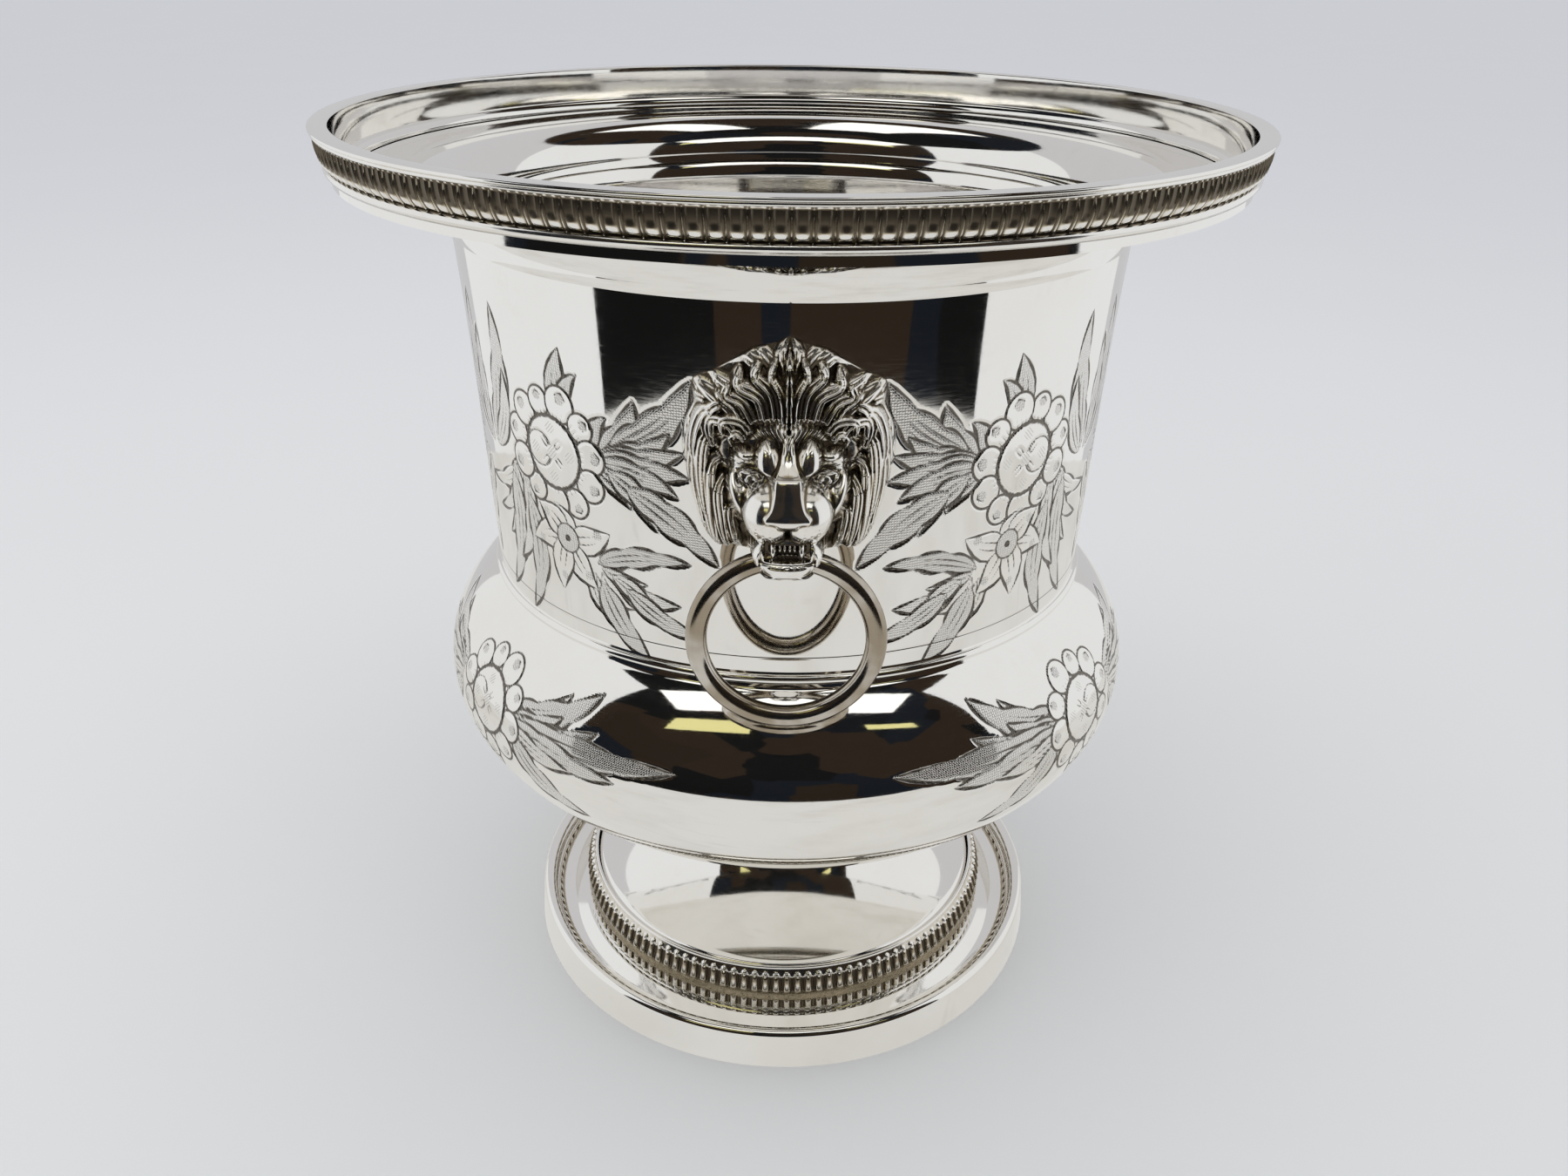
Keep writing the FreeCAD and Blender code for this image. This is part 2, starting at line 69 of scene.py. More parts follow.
# Sizes in millimetres. Those that a CAD node shows are read from the frame.
HEIGHT = top_mm("rim_collar")
RIM = radius_mm("rim_collar")
LIP_INNER = RIM - 4.65
COLLAR_INNER = LIP_INNER - 0.45
COLLAR_OUTER = LIP_INNER + 0.85
LIP_EDGE_ROUND = 0.4
LIP_CORNER_ROUND = 0.5
LIP_UNDERSIDE = top_mm("rim_border")
BORDER_BOTTOM = bottom_mm("rim_border")
COLLAR_BOTTOM = bottom_mm("rim_collar")
STEP_ROUND = 2.25
FLANGE_TOP = top_mm("rim_flange")
FLANGE_DROP = 1.8
FLANGE_BEND = 12.0
WALL_TOP = top_mm("upper_wall")
WALL_TOP_RADIUS = 87.0
WALL_WAIST = (84.4, 175.0)
WALL_FLARE = 1200.0
WAIST = (82.85, bottom_mm("upper_wall"))
SHEET = 1.2
BOWL = radius_mm("lower_bowl")
BOWL_EQUATOR = 102.7
BOWL_BASE = bottom_mm("lower_bowl")
NECK = radius_mm("neck_collar")
NECK_HEIGHT = bottom_mm("neck_collar")
NECK_BORE = 16.0
STUD_HOLE = 4.4
NECK_ROUND = 1.6
STEM_BEND = 46.0
STEM_ROUND = 2.5
RING_BOTTOM = bottom_mm("foot_gadroon_ring")
RING_TOP = top_mm("foot_gadroon_ring")
FOOT_RING = radius_mm("foot_gadroon_ring")
SKIRT = FOOT_RING - 4.2
FOOT = radius_mm("foot_base")
DISH_LIP = 2.0
DISH_BEND = 5.0
# The middle of the dish's hollow bend: out from the ring's edge, and up from its underside.
DISH_HOLLOW = (5.62, 3.28)
SHOULDER_ROLL = 1.9
WIRE_ROUND = 1.1
RIM_FLUTES = 188
FOOT_FLUTES = 128
FLUTE_STEPS = 16
HANDLE_WIRE = 2.4
AROUND = 384
BROAD_AROUND = 512
TUNNEL = 3.3
TUNNEL_LENGTH = 48

scene = bpy.context.scene


# --- meshes ----------------------------------------------------------------------------------


def arc(centre, radius, start, end, steps=12):
    """Points of an arc in a half-section, by its angles in degrees above level."""
    angles = np.radians(np.linspace(start, end, steps))
    return np.stack([centre[0] + radius * np.cos(angles), centre[1] + radius * np.sin(angles)], 1)


def arc_between(start, end, radius, steps=24):
    """An arc from one point down to another, bent towards the axis in its middle."""
    start, end = np.array(start, float), np.array(end, float)
    chord = end - start
    left = np.array([-chord[1], chord[0]]) / np.linalg.norm(chord)
    centre = (start + end) / 2 + left * math.sqrt(radius ** 2 - chord @ chord / 4)
    first = math.degrees(math.atan2(start[1] - centre[1], start[0] - centre[0])) % 360
    last = math.degrees(math.atan2(end[1] - centre[1], end[0] - centre[0])) % 360
    return arc(centre, radius, first, last, steps)


def smooth_share(value, low, high):
    """0 below `low`, 1 above `high` and a smooth step between them."""
    share = np.clip((value - low) / (high - low), 0, 1)
    return share * share * (3 - 2 * share)


def join_points(*parts):
    """One outline from points and runs of points, without repeated neighbours."""
    points = np.concatenate([np.atleast_2d(np.asarray(part, float)) for part in parts])
    step = np.linalg.norm(np.diff(points, axis=0), axis=1)
    return points[np.concatenate([[True], step > 1e-6])]


def side_normals(points):
    """Unit normals on the left of a run of points."""
    tangent = np.gradient(points, axis=0)
    tangent /= np.linalg.norm(tangent, axis=1)[:, None]
    return np.stack([-tangent[:, 1], tangent[:, 0]], 1)


def sheet_outline(outer):
    """The closed section of a spun sheet, from its outer face with that face on the left."""
    inner = np.maximum(outer - SHEET * side_normals(outer), 0)
    return np.concatenate([outer, inner[::-1]])


def grid_object(name, rows, closed_down=True):
    """A mesh of quads from closed rows of points in millimetres: rows[down][around] = (x, y, z)."""
    down, around = rows.shape[:2]
    mesh = bpy.data.meshes.new(name)
    down_steps = down if closed_down else down - 1
    i, j = np.meshgrid(np.arange(down_steps), np.arange(around), indexing="ij")
    i2 = (i + 1) % down
    j2 = (j + 1) % around
    quads = np.stack([i * around + j, i2 * around + j, i2 * around + j2, i * around + j2], -1)
    quads = quads.reshape(-1, 4)
    mesh.vertices.add(down * around)
    mesh.vertices.foreach_set("co", (rows.reshape(-1, 3) * MM).astype(np.float32).ravel())
    mesh.loops.add(quads.size)
    mesh.loops.foreach_set("vertex_index", quads.astype(np.int32).ravel())
    mesh.polygons.add(len(quads))
    mesh.polygons.foreach_set("loop_start", np.arange(0, quads.size, 4, dtype=np.int32))
    mesh.polygons.foreach_set("loop_total", np.full(len(quads), 4, np.int32))
    mesh.update(calc_edges=True)
    mesh.validate()
    piece = bpy.data.objects.new(name, mesh)
    scene.collection.objects.link(piece)
    return piece


def smooth(piece, sharp_angle=32):
    mesh = piece.data
    mesh.polygons.foreach_set("use_smooth", np.ones(len(mesh.polygons), bool))
    mesh.set_sharp_from_angle(angle=math.radians(sharp_angle))
    return piece


def turn_rows(outline, around):
    """An outline turned about the axis, as rows of points."""
    angles = np.linspace(0, 2 * math.pi, around, endpoint=False)
    radius, height = outline[:, 0][:, None], outline[:, 1][:, None]
    return np.stack([radius * np.sin(angles), -radius * np.cos(angles),
                     np.broadcast_to(height, (len(outline), around))], -1)


def lathe(name, outline, around):
    """A closed section turned about the axis. Points on the axis are merged into one."""
    piece = grid_object(name, turn_rows(outline, around))
    if outline[:, 0].min() < 1e-6:
        clean(piece)
    return smooth(piece)


def clean(piece):
    """Merge doubled points and drop the faces that this makes empty."""
    work = bmesh.new()
    work.from_mesh(piece.data)
    bmesh.ops.remove_doubles(work, verts=work.verts, dist=1e-6)
    bmesh.ops.dissolve_degenerate(work, dist=1e-7, edges=work.edges)
    bmesh.ops.recalc_face_normals(work, faces=work.faces)
    work.to_mesh(piece.data)
    work.free()


# --- materials -------------------------------------------------------------------------------


class Nodes:
    """A short way to write a node tree."""

    def __init__(self, tree):
        self.tree = tree
        tree.nodes.clear()

    def add(self, kind, settings=None, **inputs):
        node = self.tree.nodes.new(kind)
        for key, value in (settings or {}).items():
            setattr(node, key, value)
        for key, value in inputs.items():
            self.put(node, key.replace("_", " "), value)
        return node

    def put(self, node, key, value):
        socket = node.inputs[int(key)] if key.isdigit() else node.inputs[key]
        if isinstance(value, bpy.types.NodeSocket):
            self.tree.links.new(value, socket)
        else:
            socket.default_value = value

    def math(self, operation, first, second=0.0, third=0.0):
        node = self.add("ShaderNodeMath", {"operation": operation})
        for index, value in enumerate((first, second, third)):
            self.put(node, str(index), value)
        return node.outputs[0]

    def ramp(self, value, low, high):
        node = self.add("ShaderNodeMapRange", {"interpolation_type": "SMOOTHSTEP"}, Value=value)
        node.inputs["From Min"].default_value = low
        node.inputs["From Max"].default_value = high
        return node.outputs["Result"]

    def mix(self, amount, first, second):
        node = self.add("ShaderNodeMix", {"data_type": "RGBA"})
        self.put(node, "Factor", amount)
        for socket, value in ((node.inputs[6], first), (node.inputs[7], second)):
            if isinstance(value, bpy.types.NodeSocket):
                self.tree.links.new(value, socket)
            else:
                socket.default_value = (*value, 1.0)
        return node.outputs[2]

    def attribute(self, name):
        return self.add("ShaderNodeAttribute", {"attribute_name": name}).outputs["Fac"]

    def noise(self, vector, scale, detail=4.0, rough=0.5):
        return self.add("ShaderNodeTexNoise", Vector=vector, Scale=scale, Detail=detail,
                        Roughness=rough).outputs["Fac"]

    def stretched(self, vector, scale):
        node = self.add("ShaderNodeMapping", Vector=vector)
        node.inputs["Scale"].default_value = scale
        return node.outputs["Vector"]

    def bump(self, height, distance, strength=1.0, normal=None):
        node = self.add("ShaderNodeBump", Height=height, Distance=distance, Strength=strength)
        if normal is not None:
            self.put(node, "Normal", normal)
        return node.outputs["Normal"]

    def surface(self, shader, output="ShaderNodeOutputMaterial"):
        self.tree.links.new(shader.outputs[0], self.add(output).inputs["Surface"])


def new_material(name):
    """An empty material, and its node tree to fill in."""
    material = bpy.data.materials.new(name)
    material.use_nodes = True
    return material, Nodes(material.node_tree)


SILVER = (0.93, 0.915, 0.885)
WARM_TARNISH = (0.60, 0.50, 0.34)
# Golden tarnish, also used to paint shade in the hollows of the cast pieces.
GOLDEN_TARNISH_AND_SHADE = (0.46, 0.36, 0.20)
# Near-black for patina in the hollows and cuts, also used to paint shade there.
OXIDE_AND_SHADE = (0.085, 0.068, 0.050)
BRONZE_TARNISH = (0.26, 0.19, 0.10)
BRASS = (0.60, 0.42, 0.16)


def silver(name, roughness=0.045, wear=0.5, extra=None, base=SILVER):
    """Polished silver plate: warm cloudy tarnish, fine wiping scratches and small marks."""
    material, nodes = new_material(name)
    place = nodes.add("ShaderNodeTexCoord").outputs["Object"]
    cloud = nodes.noise(place, 22.0, 6.0, 0.6)
    stain = nodes.ramp(nodes.noise(place, 55.0, 8.0, 0.7), 0.56, 0.78)
    wiping = nodes.noise(nodes.stretched(place, (260.0, 260.0, 2600.0)), 1.0, 3.0, 0.65)
    swirl = nodes.noise(nodes.stretched(place, (1700.0, 1700.0, 420.0)), 1.0, 2.0, 0.5)
    colour = nodes.mix(nodes.math("MULTIPLY", nodes.ramp(cloud, 0.35, 0.75), 0.16 * wear),
                       base, WARM_TARNISH)
    colour = nodes.mix(nodes.math("MULTIPLY", stain, 0.22 * wear), colour, WARM_TARNISH)
    rough = nodes.math("MULTIPLY_ADD", nodes.ramp(wiping, 0.35, 0.75), 0.07 * wear, roughness)
    rough = nodes.math("MULTIPLY_ADD", stain, 0.08 * wear, rough)
    height = nodes.math("MULTIPLY_ADD", nodes.ramp(swirl, 0.45, 0.7), 0.4, wiping)
    normal = nodes.bump(height, 0.00001, 0.13 * wear)
    shader = nodes.add("ShaderNodeBsdfPrincipled", Metallic=1.0)
    if extra is not None:
        colour, rough, normal = extra(nodes, place, colour, rough, normal)
    nodes.put(shader, "Base Color", colour)
    nodes.put(shader, "Roughness", rough)
    nodes.put(shader, "Normal", normal)
    nodes.surface(shader)
    return material


def recessed(nodes, place, colour, rough, normal):
    """Patina left in the hollows together with painted shade, from a point attribute that is 1 where
    the piece is darkest.
    """
    depth = nodes.attribute("patina_and_shade")
    grime = nodes.noise(place, 900.0, 3.0, 0.6)
    depth = nodes.math("MULTIPLY_ADD", nodes.math("SUBTRACT", grime, 0.5), 0.35, depth)
    # The attribute carries painted shade as well as patina, so the golden and near-black tints below
    # paint shade too.
    dark_patina_and_shade = nodes.ramp(depth, 0.35, 0.95)
    warm = nodes.ramp(depth, 0.12, 0.6)
    colour = nodes.mix(nodes.math("MULTIPLY", warm, 0.75), colour, GOLDEN_TARNISH_AND_SHADE)
    colour = nodes.mix(nodes.math("MULTIPLY", dark_patina_and_shade, 0.85), colour, OXIDE_AND_SHADE)
    rough = nodes.math("MULTIPLY_ADD", dark_patina_and_shade, 0.25, rough)
    return colour, rough, normal


def handled(nodes, place, colour, rough, normal):
    """Bronze tarnish in broad patches, as on a ring that is never polished all round."""
    patches = nodes.ramp(nodes.noise(place, 60.0, 3.0, 0.6), 0.30, 0.62)
    colour = nodes.mix(nodes.math("MULTIPLY_ADD", patches, 0.45, 0.35), colour, BRONZE_TARNISH)
    return colour, nodes.math("MULTIPLY_ADD", patches, 0.06, rough), normal


def cut_and_punched(nodes, place, colour, rough, normal):
    """Bright-cut lines, punched dots and fine hatching, laid out by the shell's attributes. Their
    dark colour stands for patina in the cuts and for painted shade in them.
    """
    cut = nodes.attribute("cut")
    stipple = nodes.attribute("stipple")
    hatch = nodes.attribute("hatch")
    sheet = nodes.add("ShaderNodeAttribute", {"attribute_name": "sheet"}).outputs["Vector"]
    groove = nodes.ramp(cut, 0.10, -0.16)
    punched = nodes.add("ShaderNodeTexVoronoi", {"voronoi_dimensions": "2D"}, Vector=sheet,
                        Scale=1.55, Randomness=0.28).outputs["Distance"]
    dots = nodes.math("MULTIPLY", nodes.ramp(punched, 0.28, 0.50), stipple)
    lines = nodes.add("ShaderNodeTexWave", {"bands_direction": "DIAGONAL"}, Vector=sheet,
                      Scale=0.62, Distortion=0.4).outputs["Fac"]
    lines = nodes.math("MULTIPLY", nodes.ramp(lines, 0.55, 0.9), hatch)
    marks = nodes.math("MAXIMUM", dots, lines)
    # Painted shade with patina: the dots, hatching and cut lines are darkened with the near-black
    # tint.
    colour = nodes.mix(nodes.math("MULTIPLY", marks, 0.24), colour, OXIDE_AND_SHADE)
    colour = nodes.mix(nodes.math("MULTIPLY", groove, 0.90), colour, OXIDE_AND_SHADE)
    rough = nodes.math("MULTIPLY_ADD", nodes.math("MAXIMUM", marks, groove), 0.16, rough)
    height = nodes.math("MULTIPLY_ADD", marks, -0.16, nodes.math("MINIMUM", cut, 0.0))
    return colour, rough, nodes.bump(height, MM, 0.55, normal)


def dress(piece, material, body, slot, *replaced):
    """Gives a piece its material and its body, and hides the CAD nodes that it stands for. The slot
    is not used.
    """
    piece.data.materials.clear()
    piece.data.materials.append(material)
    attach(piece, body)
    if replaced:
        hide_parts(*replaced)


def turned(name, node, outline, polished, around=BROAD_AROUND):
    """A polished piece of the bucket, turned from its section, in a CAD node's place."""
    dress(lathe(name, outline, around), polished, "bucket", "polished_silver", node)


# --- rim -------------------------------------------------------------------------------------


def make_rim(polished, cast):
    """The collar with its turned-out lip, the step inside it, the border and the flange."""
    lip = join_points(
        (COLLAR_INNER, COLLAR_BOTTOM), (COLLAR_OUTER, COLLAR_BOTTOM), (COLLAR_OUTER, LIP_UNDERSIDE),
        arc((RIM - LIP_EDGE_ROUND, HEIGHT - LIP_EDGE_ROUND), LIP_EDGE_ROUND, -90, 90, 9),
        arc((LIP_INNER + LIP_CORNER_ROUND, HEIGHT - LIP_CORNER_ROUND), LIP_CORNER_ROUND, 90, 180, 7),
        (LIP_INNER - 0.02, HEIGHT - 2.0), (COLLAR_INNER, HEIGHT - 8.0))
    turned("rim_collar", "rim_collar", lip, polished)
    step = join_points((COLLAR_INNER, FLANGE_TOP), (COLLAR_INNER, FLANGE_TOP + 2.4),
                       arc((COLLAR_INNER - 0.2, FLANGE_TOP + 0.15), STEP_ROUND, 90, 180, 10),
                       (COLLAR_INNER - 2.45, FLANGE_TOP - 0.15))
    turned("rim_step", "rim_step_moulding", step, polished)
    dress(rim_border(), cast, "bucket", "cast_silver", "rim_border")
    turn = FLANGE_BEND - SHEET
    flat = FLANGE_TOP - FLANGE_DROP - SHEET
    underside = join_points(
        (COLLAR_INNER, FLANGE_TOP - SHEET), (COLLAR_INNER - 6.0, FLANGE_TOP - SHEET - 0.9),
        arc((WALL_TOP_RADIUS + turn + 0.6, flat - turn), turn, 82, 177, 20),
        (WALL_TOP_RADIUS, WALL_TOP))
    turned("rim_flange", "rim_flange", sheet_outline(underside), polished)


def set_points(piece, name, values):
    attribute = piece.data.attributes.new(name, "FLOAT", "POINT")
    attribute.data.foreach_set("value", values.astype(np.float32).ravel())


def rim_border():
    """The gadroon border: upright lobes with round lower tips, over a plain bead."""
    around = RIM_FLUTES * FLUTE_STEPS
    height = LIP_UNDERSIDE - BORDER_BOTTOM
    top = LIP_UNDERSIDE
    fillet = join_points((COLLAR_OUTER, top), (RIM - 0.9, top),
                         arc((RIM - 0.75, top - 0.45), 0.42, 90, -60, 7))
    down = np.linspace(0, 1, 36)
    flute_top = top - 1.0
    flute_bottom = BORDER_BOTTOM + 2.2
    belly = np.stack([RIM - 0.75 - 2.0 * down ** 2.6,
                      flute_top + (flute_bottom - flute_top) * down], 1)
    foot = join_points(arc((RIM - 3.0, BORDER_BOTTOM + 1.25), 0.85, 80, -70, 8),
                       (RIM - 3.0, BORDER_BOTTOM), (COLLAR_OUTER, BORDER_BOTTOM))
    outline = np.concatenate([fillet, belly, foot])
    rows = turn_rows(outline, around)
    across = np.abs((np.arange(around) / around * RIM_FLUTES) % 1.0 - 0.5) * 2
    crown = np.sqrt(np.clip(1 - (across / 0.66) ** 2, 0, 1))
    dart = np.clip(1 - np.abs(across - 1.0) / 0.15, 0, 1)
    first = len(fillet)
    patina_and_shade = np.zeros(rows.shape[:2])
    direction = rows[:, :, :2] / np.linalg.norm(rows[:, :, :2], axis=2)[:, :, None]
    for index, t in enumerate(down):
        enter = smooth_share(t, 0.0, 0.06)
        leave = np.sqrt(1 - (np.clip(t - 0.78, 0, 0.17) / 0.17) ** 2)
        hollow = 0.5 * np.sqrt(np.clip(1 - (across / 0.5) ** 2, 0, 1))
        hollow = hollow * (1 - smooth_share(t, 0.45, 0.75))
        edged = 0.42 * dart * smooth_share(t, 0.1, 0.4)
        relief = 0.62 * crown * leave - hollow + edged - 0.45
        rows[first + index, :, :2] += direction[first + index] * (relief * enter)[:, None]
        # Painted highlights and shade: the lobes' round lower tips, the darts and a thin line near
        # each lobe's edge are kept light, and the rest of the lobes' face is darkened with patina
        # and painted shade.
        tip = smooth_share(t, 0.62, 0.80)
        edge = np.exp(-((across - 0.60) / 0.10) ** 2) * 0.30
        bright = tip * 1.4 * crown * leave + dart * (0.60 + 0.40 * tip) + edge
        patina_and_shade[first + index] = np.clip(enter * (1.08 - bright), 0, 1)
    piece = smooth(grid_object("rim_border", rows), 60)
    set_points(piece, "patina_and_shade", patina_and_shade)
    return piece


# --- engraving -------------------------------------------------------------------------------

FAR = 1.5


class Engraving:
    """A pattern cut on a quarter of a shell, laid out flat in millimetres: across from the
    middle of the lion mask, and up the shell."""

    def __init__(self, across, up):
        self.across, self.up = across, up
        shape = (len(up), len(across))
        self.line = np.full(shape, FAR)
        self.stipple = np.zeros(shape)
        self.hatch = np.zeros(shape)

    def window(self, points, margin):
        """The part of the sheet round some points, and the places in it."""
        low, high = points.min(0) - margin, points.max(0) + margin
        columns = np.nonzero((self.across >= low[0]) & (self.across <= high[0]))[0]
        rows = np.nonzero((self.up >= low[1]) & (self.up <= high[1]))[0]
        if not len(columns) or not len(rows):
            return None, None, None
        part = np.s_[rows[0]:rows[-1] + 1, columns[0]:columns[-1] + 1]
        x, z = np.meshgrid(self.across[part[1]], self.up[part[0]])
        return part, x, z

    def stroke(self, path, thick, heavy=0.62, thin=0.07):
        """A line with fine ends, thickest at `heavy` of the way along it."""
        part, x, z = self.window(path, thick + FAR)
        if part is None:
            return
        gap, along = follow(path, x, z)
        swell = np.where(along < heavy, along / heavy, (1 - along) / (1 - heavy))
        edge = np.abs(gap) - thin - (thick - thin) * np.clip(swell, 0, 1) ** 0.8
        self.line[part] = np.minimum(self.line[part], edge)

    def patch(self, outline, stipple=0.0, hatch=0.0, clear=True):
        """Wipe the inside of an outline and fill it with punch marks or fine hatching."""
        part, x, z = self.window(outline, 0.5)
        if part is None:
            return
        inside = np.zeros(x.shape, bool)
        for start, end in zip(outline, np.roll(outline, -1, axis=0)):
            if start[1] != end[1]:
                crosses = (start[1] > z) != (end[1] > z)
                at = start[0] + (z - start[1]) * (end[0] - start[0]) / (end[1] - start[1])
                inside ^= crosses & (x < at)
        if clear:
            self.line[part] = np.where(inside, FAR, self.line[part])
        self.stipple[part] = np.where(inside, stipple, self.stipple[part])
        self.hatch[part] = np.where(inside, hatch, self.hatch[part])

    def flame(self, root, tip, bow, width, fill=1.0, weight=0.60, lobes=None):
        """One pointed part of a leaf: lobed edges, the lower one heavier, and veins inside."""
        spine = bowed(root, tip, bow)
        length = np.linalg.norm(spine[-1] - spine[0])
        lobes = lobes or int(np.clip(length / 8.5, 1, 3))
        edges = [leaf_edge(spine, side * width / 2, lobes) for side in (1, -1)]
        edges.sort(key=lambda runs: -np.mean([run[:, 1].mean() for run in runs]))
        self.patch(np.concatenate(edges[0] + [run[::-1] for run in edges[1][::-1]]), stipple=fill)
        for runs, share in zip(edges, (0.74, 1.0)):
            for run in runs:
                self.stroke(run, weight * share, 0.74)
        veins = max(1, round(width / 3.0))
        for index in range(veins):
            share = (index + 1) / (veins + 1) * 2 - 1
            reached = np.linspace(0.04, 0.66 - 0.3 * share ** 2, 8)
            self.stroke(leaf_side(spine, share * 0.42 * width, reached), 0.25, 0.5)

    def spray(self, leaves):
        for root, tip, bow, width, fill in leaves:
            self.flame(root, tip, bow, width, fill)

    def ring(self, centre, radius, weight):
        self.stroke(round_path(centre, radius), weight, 0.5, weight * 0.8)

    def petal(self, centre, toward, radius):
        """A round petal with a small dark hollow near its outer edge."""
        outline = round_path(centre, radius)
        self.patch(outline)
        self.stroke(outline, 0.42, 0.5, 0.26)
        out = (centre - toward) / np.linalg.norm(centre - toward)
        spot = centre + out * radius * 0.38
        self.patch(round_path(spot, radius * 0.34), stipple=1.0, hatch=1.0)
        across = np.array([-out[1], out[0]])
        self.stroke(np.array([spot - across * radius * 0.42, spot + out * radius * 0.3,
                              spot + across * radius * 0.42]), 0.26, 0.5)
        near = np.linalg.norm(centre - toward) - radius
        for lean in (-0.45, 0.0, 0.45):
            foot = toward + (out + across * lean * 0.35) * near
            self.stroke(np.array([foot, foot + out * radius * 0.55]), 0.12, 0.3)

    def big_flower(self, centre, petals=11):
        """Round petals about a disc with a four-lobed boss in it."""
        centre = np.array(centre, float)
        for index in range(petals):
            angle = 2 * math.pi * (index + 0.3) / petals
            size = 4.1 + 0.5 * math.sin(2.6 * index)
            reach = 12.9 + 0.5 * math.cos(1.9 * index)
            self.petal(centre + reach * np.array([math.cos(angle), math.sin(angle)]), centre, size)
        self.patch(round_path(centre, 9.2))
        self.ring(centre, 9.2, 0.50)
        self.ring(centre, 8.6, 0.12)
        for turn in (0.0, 0.5, 1.0, 1.5):
            out = np.array([math.cos(math.pi * turn), math.sin(math.pi * turn)])
            lobe = centre + out * 4.7
            start = math.degrees(math.atan2(out[1], out[0])) + 118
            self.stroke(arc(lobe, 4.0, start, start + 124, 12), 0.34, 0.5)
            self.patch(round_path(lobe + out * 1.4, 1.5), hatch=0.8)
        self.ring(centre + (4.5, 0.0), 4.4, 0.26)
        self.patch(round_path(centre, 1.7), hatch=1.0)

    def small_flower(self, centre, tips):
        """Pointed petals about a small dotted boss."""
        centre = np.array(centre, float)
        for tip in tips:
            self.flame(centre, tip, 0.08, 7.2, fill=0.0, weight=0.5, lobes=1)
            inner = centre + (np.array(tip) - centre) * 0.72
            self.patch(round_path(inner, 1.2), stipple=1.0, clear=False)
        self.patch(round_path(centre, 3.8), stipple=0.9)
        self.ring(centre, 3.8, 0.30)
        self.ring(centre, 0.5, 0.5)


def bowed(root, tip, bow):
    """A bent run from a root to a tip: the bow is its sideways reach over its length."""
    root, tip = np.array(root, float), np.array(tip, float)
    step = tip - root
    middle = (root + tip) / 2 + bow * 2 * np.array([-step[1], step[0]])
    t = np.linspace(0, 1, 13)[:, None]
    return (1 - t) ** 2 * root + 2 * t * (1 - t) * middle + t ** 2 * tip


def leaf_side(spine, reach, t):
    """Points beside a leaf's spine, at shares of its length; the leaf swells and closes again."""
    grid = np.linspace(0, 1, len(spine))
    offset = (reach * np.sin(np.pi * t ** 0.72) ** 0.85)[:, None] * np.stack(
        [np.interp(t, grid, column) for column in side_normals(spine).T], 1)
    return np.stack([np.interp(t, grid, column) for column in spine.T], 1) + offset


def leaf_edge(spine, reach, lobes):
    """One edge of a leaf: lobes that each end in a small claw over the next one's start."""
    runs = []
    share = np.linspace(0, 1, 7)
    for index in range(lobes):
        t = (index + share) / lobes
        run = leaf_side(spine, reach, t)
        plain = leaf_side(spine, reach * 0.66, t)
        bulge = np.sin(np.pi * (0.12 + 0.72 * share))[:, None]
        run = plain + (run - plain) * bulge * 1.35
        if index < lobes - 1:
            run = np.concatenate([run, leaf_side(spine, reach, t[-1:] + 0.10 / lobes)])
        runs.append(run)
    return runs


def round_path(centre, radius):
    return arc(np.asarray(centre, float), radius, 0, 360, 25)


